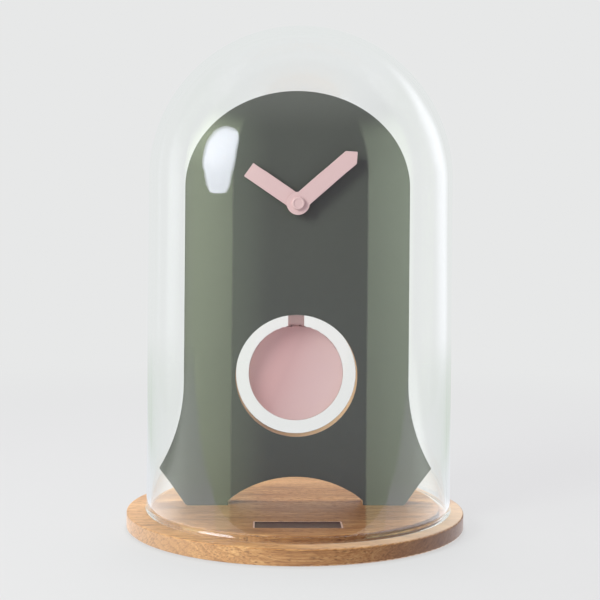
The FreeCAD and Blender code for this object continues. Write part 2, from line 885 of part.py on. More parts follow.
def fourth_wheel():
    wheel = wheel_disc(fourth_teeth, fourth_module, 0, fourth_level, fourth_x, fourth_z)
    pinion = pinion_body(pinion_teeth, third_module, fourth_pinion_phase, third_level, fourth_x, fourth_z)
    hub = sleeve_between(fourth_x, fourth_z, root_radius(pinion_teeth, third_module), third_level, fourth_level)
    return train_wheel(wheel, pinion.fuse(hub), fourth_x, fourth_z, third_level)


def fifth_wheel():
    wheel = wheel_disc(fifth_teeth, fifth_module, 0, fifth_level, fifth_x, fifth_z)
    pinion = pinion_body(pinion_teeth, fourth_module, fifth_pinion_phase, fourth_level, fifth_x, fifth_z)
    hub = sleeve_between(fifth_x, fifth_z, root_radius(pinion_teeth, fourth_module), fourth_level, fifth_level)
    return train_wheel(wheel, pinion.fuse(hub), fifth_x, fifth_z, fourth_level)


def rotor_pinion():
    pinion = pinion_body(pinion_teeth, fifth_module, rotor_pinion_phase, fifth_level, rotor_x, rotor_z)
    low = gear_front_y(rotor_level) - post_gap - pivot_reach
    arbor = rod_along_y(pivot_radius, low, bridge_back_y, rotor_x, rotor_z)
    return pinion.fuse(arbor).removeSplitter()


def rotor_magnet():
    low = gear_front_y(rotor_level)
    return ring_along_y(rotor_radius, pivot_radius, low, low + rotor_length, rotor_x, rotor_z)


def centre_wheel():
    wheel = wheel_disc(centre_teeth, centre_module, 0, centre_level, 0, axis_z)
    hub = rod_along_y(centre_hub_radius, gear_front_y(centre_level) - pinion_overhang,
                      gear_back_y(centre_level), 0, axis_z)
    bore = rod_along_y(minute_tail_radius + running_fit, gear_front_y(centre_level) - overrun,
                       gear_back_y(centre_level) + overrun, 0, axis_z)
    return wheel.fuse(hub).cut(bore)


def friction_spring():
    low = gear_front_y(friction_spring_level)
    return ring_along_y(friction_spring_radius, minute_tail_radius, low, low + friction_spring_thickness,
                        0, axis_z)


def minute_wheel():
    wheel = wheel_disc(minute_wheel_teeth, cannon_module, minute_wheel_phase, cannon_level,
                       minute_wheel_x, minute_wheel_z)
    pinion = pinion_body(minute_pinion_teeth, hour_module, 0, hour_wheel_level, minute_wheel_x, minute_wheel_z)
    hub = rod_along_y(root_radius(minute_pinion_teeth, hour_module), gear_front_y(hour_wheel_level),
                      gear_back_y(cannon_level), minute_wheel_x, minute_wheel_z)
    bore = rod_along_y(pivot_radius + running_fit, inner_front_y, gear_back_y(cannon_level) + overrun,
                       minute_wheel_x, minute_wheel_z)
    return wheel.fuse([pinion, hub]).cut(bore)


def hour_wheel():
    wheel = wheel_disc(hour_wheel_teeth, hour_module, hour_wheel_phase, hour_wheel_level, 0, axis_z)
    high = gear_back_y(hour_wheel_level)
    pipe = rod_along_y(pipe_radius, hour_hand_front_y, high, 0, axis_z)
    bore = rod_along_y(minute_arbor_radius + running_fit, hour_hand_front_y - overrun, high + overrun, 0, axis_z)
    return wheel.fuse(pipe).cut(bore)


def minute_arbor():
    cannon = pinion_body(cannon_teeth, cannon_module, 0, cannon_level, 0, axis_z)
    back_y = gear_back_y(cannon_level) + pinion_overhang
    front = rod_along_y(minute_arbor_radius, minute_hand_back_y, back_y, 0, axis_z)
    tip = rod_along_y(minute_tip_radius, minute_hand_back_y - minute_tip_length, back_y, 0, axis_z)
    tail = rod_along_y(minute_tail_radius, minute_hand_back_y, case_back_y + knob_gap + knob_thickness,
                       0, axis_z)
    return cannon.fuse([front, tip, tail]).removeSplitter()


# Bridge

def bridge_post_places():
    """The middles of the bridge's posts, each just outside one wheel."""
    out = bridge_post_radius + bridge_post_gap
    return [
        step(0, axis_z, tip_radius(centre_teeth, centre_module) + out, low_post_direction),
        step(third_x, third_z, tip_radius(third_teeth, third_module) + out, right_post_direction),
        step(fifth_x, fifth_z, tip_radius(fifth_teeth, fifth_module) + out, top_post_direction),
    ]


def bridge_posts():
    posts = []
    for x, z in bridge_post_places():
        posts.append(rod_along_y(bridge_post_radius, inner_front_y, bridge_front_y, x, z))
    return posts


def train_bridge():
    xs = [x for x, z in bridge_post_places()] + [rotor_x, fifth_x, fourth_x]
    zs = [z for x, z in bridge_post_places()] + [rotor_z, fifth_z, fourth_z]
    solid = block(min(xs) - bridge_margin, max(xs) + bridge_margin, bridge_front_y, bridge_back_y,
                  min(zs) - bridge_margin, max(zs) + bridge_margin)
    solid = round_edges_along(solid, V(0, 1, 0), bridge_margin / 2, lambda p: True)
    holes = [(third_x, third_z), (fourth_x, fourth_z), (fifth_x, fifth_z), (rotor_x, rotor_z)]
    for x, z in holes:
        solid = solid.cut(rod_along_y(pivot_radius + running_fit, bridge_front_y - overrun,
                                      bridge_back_y + overrun, x, z))
    return solid.cut(rod_along_y(minute_tail_radius + running_fit, bridge_front_y - overrun,
                                 bridge_back_y + overrun, 0, axis_z))


# Stepping motor

def stator_front_y():
    return gear_front_y(rotor_level) + (rotor_length - stator_thickness) / 2


def arm(x0, z0, x1, z1, width, y0, y1):
    """A flat bar with round ends between two points."""
    length = math.hypot(x1 - x0, z1 - z0)
    turn = math.degrees(math.atan2(z1 - z0, x1 - x0))
    bar = block(0, length, 0, y1 - y0, -width / 2, width / 2)
    bar.rotate(V(0, 0, 0), V(0, 1, 0), -turn)
    bar.translate(V(x0, y0, z0))
    return bar.fuse([rod_along_y(width / 2, y0, y1, x0, z0), rod_along_y(width / 2, y0, y1, x1, z1)])


def core_ends():
    low = axis_z + coil_low_z - bobbin_flange - core_overhang / 2
    high = axis_z + coil_high_z + bobbin_flange + core_overhang / 2
    return low, high


def motor_stator():
    """The flat iron plate that runs from the coil's two ends to the eye round the rotor."""
    y0 = stator_front_y()
    y1 = y0 + stator_thickness
    eye_radius = rotor_radius + stator_eye_gap
    eye = rod_along_y(eye_radius + stator_eye_wall, y0, y1, rotor_x, rotor_z)
    bend_x = coil_middle_x + coil_radius + stator_side_gap + stator_arm_width / 2
    arms = []
    for z in core_ends():
        arms.append(arm(coil_middle_x, z, bend_x, z, stator_arm_width, y0, y1))
        arms.append(arm(bend_x, z, rotor_x, rotor_z, stator_arm_width, y0, y1))
    hole = rod_along_y(eye_radius, y0 - overrun, y1 + overrun, rotor_x, rotor_z)
    return eye.fuse(arms).cut(hole).removeSplitter()


def stator_posts():
    return [rod_along_y(stator_post_radius, inner_front_y, stator_front_y(), coil_middle_x, z)
            for z in core_ends()]


def motor_core():
    y0 = stator_front_y() + stator_thickness
    low, high = core_ends()
    half = stator_arm_width / 2
    return block(coil_middle_x - half, coil_middle_x + half, y0, y0 + stator_thickness,
                 low - half, high + half)


def coil_middle_y():
    return stator_front_y() + stator_thickness + stator_thickness / 2


def core_slot(z0, z1):
    half = stator_arm_width / 2
    y = coil_middle_y()
    return block(coil_middle_x - half, coil_middle_x + half, y - stator_thickness / 2,
                 y + stator_thickness / 2, z0, z1)


def motor_bobbin():
    y = coil_middle_y()
    low, high = axis_z + coil_low_z, axis_z + coil_high_z
    tube_radius = stator_arm_width / 2 + bobbin_wall
    tube = rod_along_z(tube_radius, low, high, coil_middle_x, y)
    ends = [rod_along_z(coil_radius, z, z + bobbin_flange, coil_middle_x, y)
            for z in (low - bobbin_flange, high)]
    return tube.fuse(ends).cut(core_slot(low - overrun - bobbin_flange, high + overrun + bobbin_flange))


def motor_coil():
    y = coil_middle_y()
    low, high = axis_z + coil_low_z, axis_z + coil_high_z
    tube_radius = stator_arm_width / 2 + bobbin_wall
    winding = rod_along_z(coil_radius - bobbin_wall / 2, low, high, coil_middle_x, y)
    return winding.cut(rod_along_z(tube_radius, low - overrun, high + overrun, coil_middle_x, y))


# Circuit board

def circuit_front_y():
    return inner_front_y + circuit_standoff


def circuit_posts():
    middle_x = (circuit_low_x + circuit_high_x) / 2
    zs = (axis_z + circuit_low_z + 2 * circuit_post_radius, axis_z + circuit_high_z - 2 * circuit_post_radius)
    return [rod_along_y(circuit_post_radius, inner_front_y, circuit_front_y(), middle_x, z) for z in zs]


def circuit_board():
    y0 = circuit_front_y()
    board = block(circuit_low_x, circuit_high_x, y0, y0 + circuit_thickness,
                  axis_z + circuit_low_z, axis_z + circuit_high_z)
    chip = Part.makeCone(chip_radius, chip_radius / 2, chip_height,
                         V((circuit_low_x + circuit_high_x) / 2, y0 + circuit_thickness,
                           axis_z + (circuit_low_z + circuit_high_z) / 4), V(0, 1, 0))
    return board.fuse(chip)


def quartz_crystal():
    y = circuit_front_y() + circuit_thickness + crystal_radius
    middle_z = axis_z + crystal_middle_z
    can = rod_along_z(crystal_radius, middle_z - crystal_length / 2, middle_z + crystal_length / 2,
                      crystal_middle_x, y)
    return can


# Setting knob

def setting_knob():
    y0 = case_back_y + knob_gap
    y1 = y0 + knob_thickness
    solid = rod_along_y(knob_radius, y0, y1, 0, axis_z)
    for i in range(knob_grips):
        turn = 2 * math.pi * i / knob_grips
        x, z = step(0, axis_z, knob_radius, turn)
        solid = solid.cut(rod_along_y(knob_grip_radius, y0 - overrun, y1 + overrun, x, z))
    return solid.cut(rod_along_y(minute_tail_radius, y0 - overrun, y1 + overrun, 0, axis_z))


# Hands

def turned(solid, angle):
    """Turns a hand that points up to its place, clockwise for the reader."""
    solid.rotate(V(0, 0, axis_z), V(0, 1, 0), angle)
    return solid


def hand_blade(corners, y0, y1):
    points = [V(x, axis_z + z, 0) for x, z in corners]
    blade = upright(Part.Face(Part.makePolygon(points + points[:1])), y0, y1)
    boss = rod_along_y(hand_boss_radius, y0, y1, 0, axis_z)
    return blade.fuse(boss).removeSplitter()


def hour_hand():
    half = hour_hand_width / 2
    corners = [(-half, 0), (half, 0), (half, hour_hand_length), (-half, hour_hand_length)]
    blade = hand_blade(corners, hour_hand_front_y, hour_hand_back_y)
    collet = rod_along_y(hour_collet_radius, hour_hand_back_y, hour_hand_back_y + hour_collet_length, 0, axis_z)
    bore = rod_along_y(pipe_radius, hour_hand_front_y - overrun,
                       hour_hand_back_y + hour_collet_length + overrun, 0, axis_z)
    return turned(blade.fuse(collet).cut(bore), hour_angle)


def minute_hand():
    half = minute_hand_width / 2
    shoulder = minute_hand_length - half
    corners = [(-half, 0), (half, 0), (half, shoulder), (0, minute_hand_length), (-half, shoulder)]
    blade = hand_blade(corners, minute_hand_front_y, minute_hand_back_y)
    bore = rod_along_y(minute_tip_radius, minute_hand_front_y - overrun, minute_hand_back_y + overrun, 0, axis_z)
    return turned(blade.cut(bore), minute_angle)


def hand_cap():
    """The dished cap nut that holds the minute hand."""
    y0 = minute_hand_front_y - cap_height
    solid = rod_along_y(cap_radius, y0, minute_hand_front_y, 0, axis_z)
    front_edges = [e for e in solid.Edges
                   if isinstance(e.Curve, Part.Circle) and abs(e.CenterOfMass.y - y0) < cap_height / 2]
    solid = solid.makeFillet(min(cap_edge_round, cap_height / 2), front_edges)
    dish = Part.makeCone(cap_dish_radius, cap_dish_radius - cap_dish_depth, cap_dish_depth,
                         V(0, y0, axis_z), V(0, 1, 0))
    thread = rod_along_y(minute_tip_radius, minute_hand_back_y - minute_tip_length,
                         minute_hand_front_y + overrun, 0, axis_z)
    return solid.cut(dish).cut(thread)


# Pendulum drive

def pendulum_arbor():
    return rod_along_y(pendulum_arbor_radius, inner_front_y + running_fit,
                       rod_back_y + hanger_head_thickness, 0, pivot_z)


def drive_lever():
    hub = rod_along_y(lever_hub_radius, lever_front_y, lever_back_y, 0, pivot_z)
    blade = block(-lever_width / 2, lever_width / 2, lever_front_y, lever_back_y, magnet_z, pivot_z)
    cup = rod_along_y(magnet_cup_radius, lever_front_y, lever_back_y, 0, magnet_z)
    bore = rod_along_y(pendulum_arbor_radius, lever_front_y - overrun, lever_back_y + overrun, 0, pivot_z)
    return hub.fuse([blade, cup]).cut(bore).removeSplitter()


def drive_magnet():
    return rod_along_y(magnet_radius, magnet_front_y, lever_front_y, 0, magnet_z)


def drive_bobbin():
    y0 = inner_front_y
    y1 = y0 + drive_bobbin_flange
    y2 = y1 + drive_coil_length
    y3 = y2 + drive_bobbin_flange
    hub = rod_along_y(drive_coil_bore, y0, y3, 0, magnet_z)
    low = rod_along_y(drive_bobbin_flange_radius, y0, y1, 0, magnet_z)
    high = rod_along_y(drive_bobbin_flange_radius, y2, y3, 0, magnet_z)
    return hub.fuse([low, high]).removeSplitter()


def drive_coil():
    y0 = inner_front_y + drive_bobbin_flange
    return ring_along_y(drive_coil_radius, drive_coil_bore, y0, y0 + drive_coil_length, 0, magnet_z)


def pendulum_hanger():
    """The hub on the arbor's back end, with the headed peg that the rod hooks over."""
    start = drive_back_y + hanger_gap
    hub = rod_along_y(hanger_radius, start, bob_back_y, 0, pivot_z)
    peg = rod_along_y(hanger_peg_radius, start, rod_back_y, 0, pivot_z)
    head_y = rod_back_y + hanger_fit
    head = rod_along_y(hanger_head_radius, head_y, head_y + hanger_head_thickness, 0, pivot_z)
    neck = rod_along_y(hanger_peg_radius, start, head_y + hanger_head_thickness / 2, 0, pivot_z)
    bore = rod_along_y(pendulum_arbor_radius, start - overrun, head_y + overrun + hanger_head_thickness,
                       0, pivot_z)
    return hub.fuse([peg, neck, head]).cut(bore).removeSplitter()


# Pendulum rod and bob

def pendulum_rod():
    half = rod_width / 2
    low = window_z + bob_radius - rod_lap
    solid = block(-half, half, bob_back_y, rod_back_y, low, pivot_z)
    solid = solid.fuse(rod_along_y(half, bob_back_y, rod_back_y, 0, pivot_z))
    peg_room = hanger_peg_radius + hanger_fit
    slot = block(-peg_room, peg_room, bob_back_y - overrun, rod_back_y + overrun,
                 pivot_z - keyhole_drop, pivot_z)
    top = rod_along_y(peg_room, bob_back_y - overrun, rod_back_y + overrun, 0, pivot_z)
    entry = rod_along_y(hanger_head_radius + keyhole_clearance, bob_back_y - overrun, rod_back_y + overrun,
                        0, pivot_z - keyhole_drop)
    return solid.cut(slot.fuse([top, entry])).removeSplitter()


def pendulum_bob():
    solid = rod_along_y(bob_radius, bob_front_y, bob_back_y, 0, window_z)
    rims = [e for e in solid.Edges if isinstance(e.Curve, Part.Circle)]
    return solid.makeFillet(min(bob_edge_round, bob_thickness / 3), rims)


# Writing the pieces

def pieces():
    yield "oak_base", oak_base()
    for i, (x, y) in enumerate(pad_places()):
        yield f"felt_pad_{i + 1}", felt_pad(x, y)
    yield "name_plate", name_plate()
    yield "name_plate_insert", plate_insert()
    yield "board_core", board_core()
    yield "board_front_facing", board_front_facing()
    yield "board_back_facing", board_back_facing()
    yield "board_screws", board_screws()
    yield "foot_dowels", foot_dowels()
    yield "glass_dome", glass_dome()
    yield "movement_front_case", front_case()
    yield "movement_rear_cover", rear_cover()
    yield "battery", battery()
    yield "battery_contact_positive", battery_contact(1)
    yield "battery_contact_negative", battery_contact(-1)
    yield "rubber_gasket", gasket()
    yield "threaded_bush", threaded_bush()
    yield "brass_washer", washer()
    yield "hex_nut", hex_nut()
    yield "train_bridge", train_bridge()
    yield "rotor_pinion", rotor_pinion()
    yield "rotor_magnet", rotor_magnet()
    yield "fifth_wheel", fifth_wheel()
    yield "fourth_wheel", fourth_wheel()
    yield "third_wheel", third_wheel()
    yield "centre_wheel", centre_wheel()
    yield "friction_spring", friction_spring()
    yield "minute_arbor", minute_arbor()
    yield "minute_wheel", minute_wheel()
    yield "hour_wheel", hour_wheel()
    yield "setting_knob", setting_knob()
    yield "motor_stator", motor_stator()
    yield "motor_core", motor_core()
    yield "motor_bobbin", motor_bobbin()
    yield "motor_coil", motor_coil()
    yield "circuit_board", circuit_board()
    yield "quartz_crystal", quartz_crystal()
    yield "hour_hand", hour_hand()
    yield "minute_hand", minute_hand()
    yield "hand_cap", hand_cap()
    yield "pendulum_arbor", pendulum_arbor()
    yield "drive_lever", drive_lever()
    yield "drive_magnet", drive_magnet()
    yield "drive_bobbin", drive_bobbin()
    yield "drive_coil", drive_coil()
    yield "pendulum_hanger", pendulum_hanger()
    yield "pendulum_rod", pendulum_rod()
    yield "pendulum_bob", pendulum_bob()


def main():
    os.makedirs("parts", exist_ok=True)
    for name, shape in pieces():
        shape.exportStep(f"parts/{name}.step")


main()
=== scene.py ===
import math

import bmesh
import bpy
from mathutils import Matrix, Vector


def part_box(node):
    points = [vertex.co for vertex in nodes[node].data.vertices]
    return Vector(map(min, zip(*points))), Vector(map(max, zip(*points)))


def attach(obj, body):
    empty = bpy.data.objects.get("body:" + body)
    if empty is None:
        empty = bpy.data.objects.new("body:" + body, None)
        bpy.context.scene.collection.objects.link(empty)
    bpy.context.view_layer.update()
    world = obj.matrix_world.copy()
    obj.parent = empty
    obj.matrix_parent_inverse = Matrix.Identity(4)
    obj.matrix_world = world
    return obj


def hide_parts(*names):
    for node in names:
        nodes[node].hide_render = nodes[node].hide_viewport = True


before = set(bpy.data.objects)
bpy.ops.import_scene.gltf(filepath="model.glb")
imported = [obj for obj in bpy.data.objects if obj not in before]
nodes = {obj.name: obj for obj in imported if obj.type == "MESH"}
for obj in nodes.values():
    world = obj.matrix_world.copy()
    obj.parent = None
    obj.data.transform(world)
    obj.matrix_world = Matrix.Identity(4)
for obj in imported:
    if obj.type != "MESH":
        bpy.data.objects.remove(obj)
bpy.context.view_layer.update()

# The looks of a pendulum table clock under a glass dome, in metres.

mm = 0.001


# Colours and ramps

def srgb(r, g, b):
    """A colour of 0 to 255 steps as linear light."""
    out = []
    for c in (r, g, b):
        c = c / 255
        out.append(c / 12.92 if c <= 0.04045 else ((c + 0.055) / 1.055) ** 2.4)
    return tuple(out)


def shades(*stops):
    """A ramp's stops from place, red, green and blue, the colours in 0 to 255 steps."""
    return [(at, srgb(r, g, b)) for at, r, g, b in stops]


def greys(*stops):
    """A ramp's stops from place and level."""
    return [(at, (level, level, level)) for at, level in stops]


# Camera, fitted to the rims of the base, the platform and the dome in the photograph
camera_place = Vector((-0.01957, -0.700, 0.1631))
camera_lens = 73.87
camera_sensor = 36.0
camera_yaw = math.radians(1.73)
camera_pitch = math.radians(0.25)
camera_roll = math.radians(0.47)
camera_shift_up = -0.0968
camera_nearest = 0.01

# Sizes of the dome's glass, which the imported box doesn't give
dome_wall = 2.7 * mm
dome_crown_thickness = 3.2 * mm
dome_rim_round = 1.3 * mm
dome_lip_hollow = 5.0 * mm
dome_lip_slope = math.radians(25)
dome_turns = 360
dome_crown_steps = 72
dome_wall_steps = 8
rim_steps = 6
pole_radius = 1e-9

# Small soft edges on the painted pieces
hand_edge = 0.22 * mm
pendulum_edge = 0.15 * mm
weld_distance = 0.001 * mm
edge_segments = 2
edge_angle = math.radians(50)
edge_samples = 6

# A noise below is its stretch along X, Y and Z where it has one, its scale, its detail and, where
# it isn't 0.5, its roughness. A bump is a depth and a strength. A span is where a change starts and ends.

# Oak, its boards' grain along X and their heart below; painted shade on the rim's right side, painted sheen
# on its left and on the right ledge, painted light and a painted shadow on the top
oak_drift = ((2.0, 9.0, 9.0), 3.0, 3.0)
oak_drift_width = 0.030
oak_wave = ((3.0, 30.0, 30.0), 4.0, 2.0)
oak_wave_width = 0.006
oak_heart_depth = 0.085
oak_rings_per_metre = 330.0
oak_late_wood = greys((0.0, 0.0), (0.35, 0.10), (0.80, 0.55), (0.95, 1.0), (1.0, 0.0))
oak_fibre = ((34.0, 620.0, 620.0), 2.0, 5.0, 0.65)
oak_broad = ((6.0, 60.0, 60.0), 1.6, 3.0)
oak_fibre_share = 0.85
oak_broad_share = 0.45
oak_late_share = 0.10
oak_tone_down = 0.15
oak_tones = shades((0.33, 217, 173, 117), (0.46, 195, 146, 91), (0.57, 172, 121, 69), (0.71, 130, 86, 46))
oak_pore = ((150.0, 800.0, 800.0), 1.7, 1.5)
oak_pore_span = (0.54, 0.68)
oak_pores_in_early_wood = 0.75
oak_pores_anywhere = 0.15
oak_pore_share = 0.8
oak_pore_colour = srgb(88, 54, 31)
oak_end_span = (0.35, 0.90)
oak_end_late_share = 0.35
oak_end_broad_share = 0.6
oak_end_tones = shades((0.15, 192, 148, 102), (0.50, 168, 123, 80), (0.9, 132, 91, 57))
oak_stroke = ((150.0, 640.0, 200.0), 1.5, 2.0)
oak_stroke_span = (0.50, 0.66)
oak_stroke_share = 0.72
oak_stroke_colour = srgb(84, 48, 24)
# painted shade on the rim's right side, away from the key lamp, and painted sheen at the left, towards it
oak_painted_shade_span = (-0.035, 0.075)
oak_painted_shade_share = 0.80
oak_painted_shade_colour = srgb(86, 43, 8)
oak_painted_sheen_rim_span = (0.03, -0.07)
oak_painted_sheen_rim_share = 0.24
oak_painted_sheen_span = (-0.02, -0.085)
oak_painted_sheen_share = 0.16
oak_painted_sheen_colour = srgb(222, 192, 164)
oak_top_span = (0.7, 0.95)
# painted light on the top behind the board, and the board's painted shadow on the top in front of it
oak_painted_light_behind_board_span = (0.026, 0.050)
oak_painted_light_behind_board_share = 0.32
oak_painted_light_behind_board_colour = srgb(236, 184, 128)
oak_painted_shadow_back = (0.014, 0.002)
oak_painted_shadow_front = (-0.086, -0.076)
oak_painted_shadow_half_width = (0.028, 0.056)
oak_painted_shadow_share = 0.30
oak_painted_shadow_colour = srgb(116, 66, 26)
# painted sheen on the ledge's top at the right
oak_painted_sheen_ledge_edge = (0.0835, 0.0860)
oak_painted_sheen_ledge_span = (-0.01, 0.075)
oak_painted_sheen_ledge_shares = (0.08, 0.62)
oak_painted_sheen_ledge_colour = srgb(232, 214, 194)
oak_fibre_relief = 0.35
oak_bump = (0.00012, 0.45)
oak_roughness = (0.42, 0.58)
oak_specular = 0.34

# Sprayed paint, and the bob's and the plate's own. Each paint gives its stipple a scale
paint_cloud = (14.0, 3.0)
paint_cloud_share = 0.6
paint_stipple_detail = 3.0
paint_stipple_roughness = 0.6
paint_stipple_share = 0.4
paint_bump = (0.000004, 0.5)
paint_edge = 0.15 * mm
paint_roughness_swing = 0.05
tone_span = (0.35, 0.65)
texture_span = (0.3, 0.7)
bob_grain = 3000.0
bob_roughness = 0.42
# painted light across the bob's front, from its upper left to its lower right
bob_painted_light_across = 0.91
bob_painted_light_up = 0.40
bob_painted_light_tones = shades((0.10, 229, 201, 205), (0.42, 222, 188, 191), (0.60, 217, 177, 180),
                         (0.74, 228, 185, 187), (0.93, 246, 207, 207))
bob_front_span = (-0.5, -0.9)
bob_side_colour = srgb(226, 190, 193)
plate_grain = 2400.0
plate_edge = 0.1 * mm
plate_roughness = 0.42
plate_wall_tones = shades((0.35, 78, 58, 48), (0.65, 92, 70, 58))
plate_rim_tones = shades((0.35, 214, 178, 160), (0.65, 228, 192, 174))
plate_rim_span = (0.4, 0.8)

# The board's fibre
fibre_layer = ((60.0, 1500.0, 60.0), 1.0, 3.0)
fibre_layer_share = 0.4
fibre_fleck = (1300.0, 4.0, 0.65)
fibre_fleck_share = 0.35
fibre_cloud = (60.0, 2.0)
fibre_cloud_share = 0.25
fibre_tones = shades((0.30, 166, 136, 104), (0.50, 192, 162, 127), (0.72, 214, 187, 154))
fibre_bump = (0.00008, 0.5)
fibre_roughness = 0.78
fibre_specular = 0.3

# The dome's glass
glass_wave = ((1.0, 1.0, 0.45), 13.0, 1.5)
glass_bump = (0.00001, 0.25)
glass_colour = (0.995, 1.0, 0.997)
glass_ior = 1.47
glass_light_colour = (0.957, 0.96, 0.958)
glass_body_colour = (0.72, 0.93, 0.86)
glass_body_density = 7.0
caught_light_colour = (0.755, 0.795, 0.785)
caught_after_mirrorings = 2.5
caught_after_bounces = 8.5

# Plastic and metal
plastic_texture = (2600.0, 2.0)
plastic_flow = (45.0, 2.0)
plastic_tone_swing = 0.07
plastic_bump = (0.000006, 0.5)
plastic_edge = 0.2 * mm
plastic_roughness_swing = 0.06
metal_marks = (500.0, 4.0, 0.6)
metal_tarnish = (120.0, 3.0)
metal_tarnish_level = 0.82
metal_tarnish_span = (0.3, 0.65)
metal_bump = (0.00001, 0.6)
metal_edge = 0.15 * mm
metal_marks_span = (0.25, 0.75)
metal_least_roughness = 0.08
metal_smoother = 0.1
metal_rougher = 0.12

# Coils, felt, circuit board and battery
wire_pitch = 0.16 * mm
winding_flaw = (700.0, 2.0)
winding_flaw_share = 0.5
winding_groove_share = 0.6
winding_tones = shades((0.2, 205, 112, 56), (0.6, 160, 74, 36), (0.85, 96, 40, 22))
winding_bump = (0.00004, 0.7)
winding_roughness = 0.32
winding_metallic = 0.75
winding_coat = 0.4
felt_hair = (2600.0, 5.0, 0.7)
felt_hair_share = 0.6
felt_mat = (420.0, 3.0)
felt_mat_share = 0.4
felt_tones = shades((0.3, 88, 84, 80), (0.7, 146, 141, 134))
felt_bump = (0.0003, 0.8)
felt_roughness = 0.95
felt_sheen = 0.4
track_scale = 380.0
track_gap = 0.06
track_colours = {"Color1": srgb(24, 92, 58), "Color2": srgb(30, 104, 66), "Mortar": srgb(58, 132, 84)}
laminate_weave = (1800.0, 2.0)
laminate_bump = (0.00002, 0.4)
laminate_edge = 0.1 * mm
laminate_roughness = 0.38
blob_span = (-0.00036, -0.00030)
blob_colour = srgb(20, 20, 22)
jacket_span = (-0.02525, 0.02525)
jacket_bands = shades((0.0, 176, 178, 180), (0.018, 54, 58, 64), (0.70, 54, 58, 64), (0.705, 168, 112, 66),
                      (0.955, 168, 112, 66), (0.962, 188, 190, 192))
jacket_steel_ends = (-0.0243, 0.0233)
jacket_scuff = (260.0, 4.0)
jacket_scuff_span = (0.62, 0.75)
jacket_scuff_share = 0.25
jacket_scuff_colour = srgb(150, 150, 150)
jacket_bump = (0.00001, 0.4)
jacket_roughness = 0.30

# Sprayed pieces: material, colour, the stipple's scale, roughness, how far its specks stray, and the nodes
sprayed_pieces = [
    ("plate_field", srgb(92, 72, 58), 3000.0, 0.50, 0.04, ["name_plate_insert"]),
    ("board_paint", srgb(79, 82, 76), 3000.0, 0.55, 0.02, ["board_front_facing", "board_back_facing"]),
    ("dowel_beech", srgb(222, 190, 150), 500.0, 0.60, 0.04, ["foot_dowels"]),
    ("hand_paint", srgb(222, 190, 191), 3000.0, 0.42, 0.02, ["hour_hand", "minute_hand", "hand_cap"]),
    # the rod's pink is lighter than the hands' same paint: painted light where the board shades the rod
    ("rod_paint", srgb(255, 226, 226), 3000.0, 0.42, 0.02, ["pendulum_rod"]),
]

# Plastic and rubber pieces: material, colour, roughness and the nodes
moulded_pieces = [
    ("case_plastic", srgb(44, 45, 47), 0.42, ["movement_front_case", "movement_rear_cover"]),
    ("frame_plastic", srgb(236, 234, 226), 0.38,
     ["train_bridge", "motor_bobbin", "drive_bobbin", "drive_lever", "pendulum_hanger"]),
    ("gear_plastic", srgb(240, 238, 230), 0.33,
     ["fifth_wheel", "fourth_wheel", "third_wheel", "centre_wheel", "minute_wheel", "hour_wheel",
      "rotor_pinion"]),
    ("knob_plastic", srgb(74, 75, 78), 0.42, ["setting_knob"]),
    ("rubber", srgb(34, 34, 34), 0.70, ["rubber_gasket"]),
]

# Metal pieces: material, colour, roughness, the stretch of their marks and the nodes
even_marks = (1.0, 1.0, 1.0)
metal_pieces = [
    ("zinc_steel", srgb(196, 198, 196), 0.35, even_marks, ["board_screws"]),
    ("brass", srgb(214, 172, 96), 0.28, (1.0, 0.2, 1.0), ["brass_washer", "hex_nut", "threaded_bush"]),
    ("spring_steel", srgb(206, 208, 208), 0.25, even_marks,
     ["friction_spring", "battery_contact_positive", "battery_contact_negative"]),
    ("gear_steel", srgb(186, 186, 184), 0.22, (1.0, 0.05, 1.0), ["minute_arbor", "pendulum_arbor"]),
    ("soft_iron", srgb(150, 148, 146), 0.40, even_marks, ["motor_stator", "motor_core"]),
    ("magnet", srgb(120, 122, 126), 0.32, even_marks, ["rotor_magnet", "drive_magnet"]),
    ("bright_can", srgb(222, 222, 220), 0.20, even_marks, ["quartz_crystal"]),
]

# The studio's backdrop, its light from all round, and the room in front that mirrors see. Its spans
# are of a direction's X, Y or Z, from -1 to 1
backdrop_colour = (0.800, 0.806, 0.806)
front_room_colour = (0.13, 0.115, 0.16)
front_floor_colour = (0.120, 0.135, 0.30)
front_floor_span = (-0.30, 0.0)
behind_span = (-0.08, 0.10)
ceiling_span = (0.50, 0.92)
ceiling_level = 0.78
left_glow_colour = (0.60, 0.70, 0.57)
left_glow_span = (-0.80, -0.35)
fill_colour = (1.0, 0.87, 1.0)
fill_from_left = 0.96
fill_from_right = 0.50
fill_from_above_share = 0.5

# The ground behind the board's window, found by its slope, which is its sideways distance over its
# depth, by Y on the floor and by a direction's Z on the backdrop
# a painted patch of light, brighter than the backdrop, seen only through the glass behind the board's window
ring_ground_painted_light_colour = (1.02, 1.015, 0.985)
ring_ground_share = 0.5
ring_ground_slope = 0.027
ring_ground_span = (0.053, 0.075)
ring_ground_floor_span = (0.10, 0.22)
ring_ground_wall_span = (-0.050, -0.030)
least_depth = 0.1

# The table top
floor_colour = (0.500, 0.504, 0.512)
floor_own_light_share = 0.73
floor_radius = 1.6
floor_corners = 128
floor_fade_span = (0.24, 0.90)
floor_mirrored_span = (0.40, 1.45)
floor_mirrored_near = (0.800, 0.806, 0.840)
floor_mirrored_far = (0.640, 0.690, 0.635)
floor_beside_span = (0.15, 0.24)
floor_in_mirrors = 2.5
floor_in_mirrors_span = (0.0, 0.06)
table_front = -0.133

# Lamps
key_azimuth = math.radians(-48)
key_height_angle = math.radians(25)
key_distance = 1.0
key_width = 0.40
key_height = 0.47
key_radiance = 17.8
key_colour = (0.985, 1.07, 0.955)
top_azimuth = math.radians(180)
top_height_angle = math.radians(74)
top_distance = 1.3
top_size = 0.42
top_radiance = 31.0
top_colour = (1.0, 1.0, 1.0)
light_aim = Vector((0.0, 0.0, 0.15))

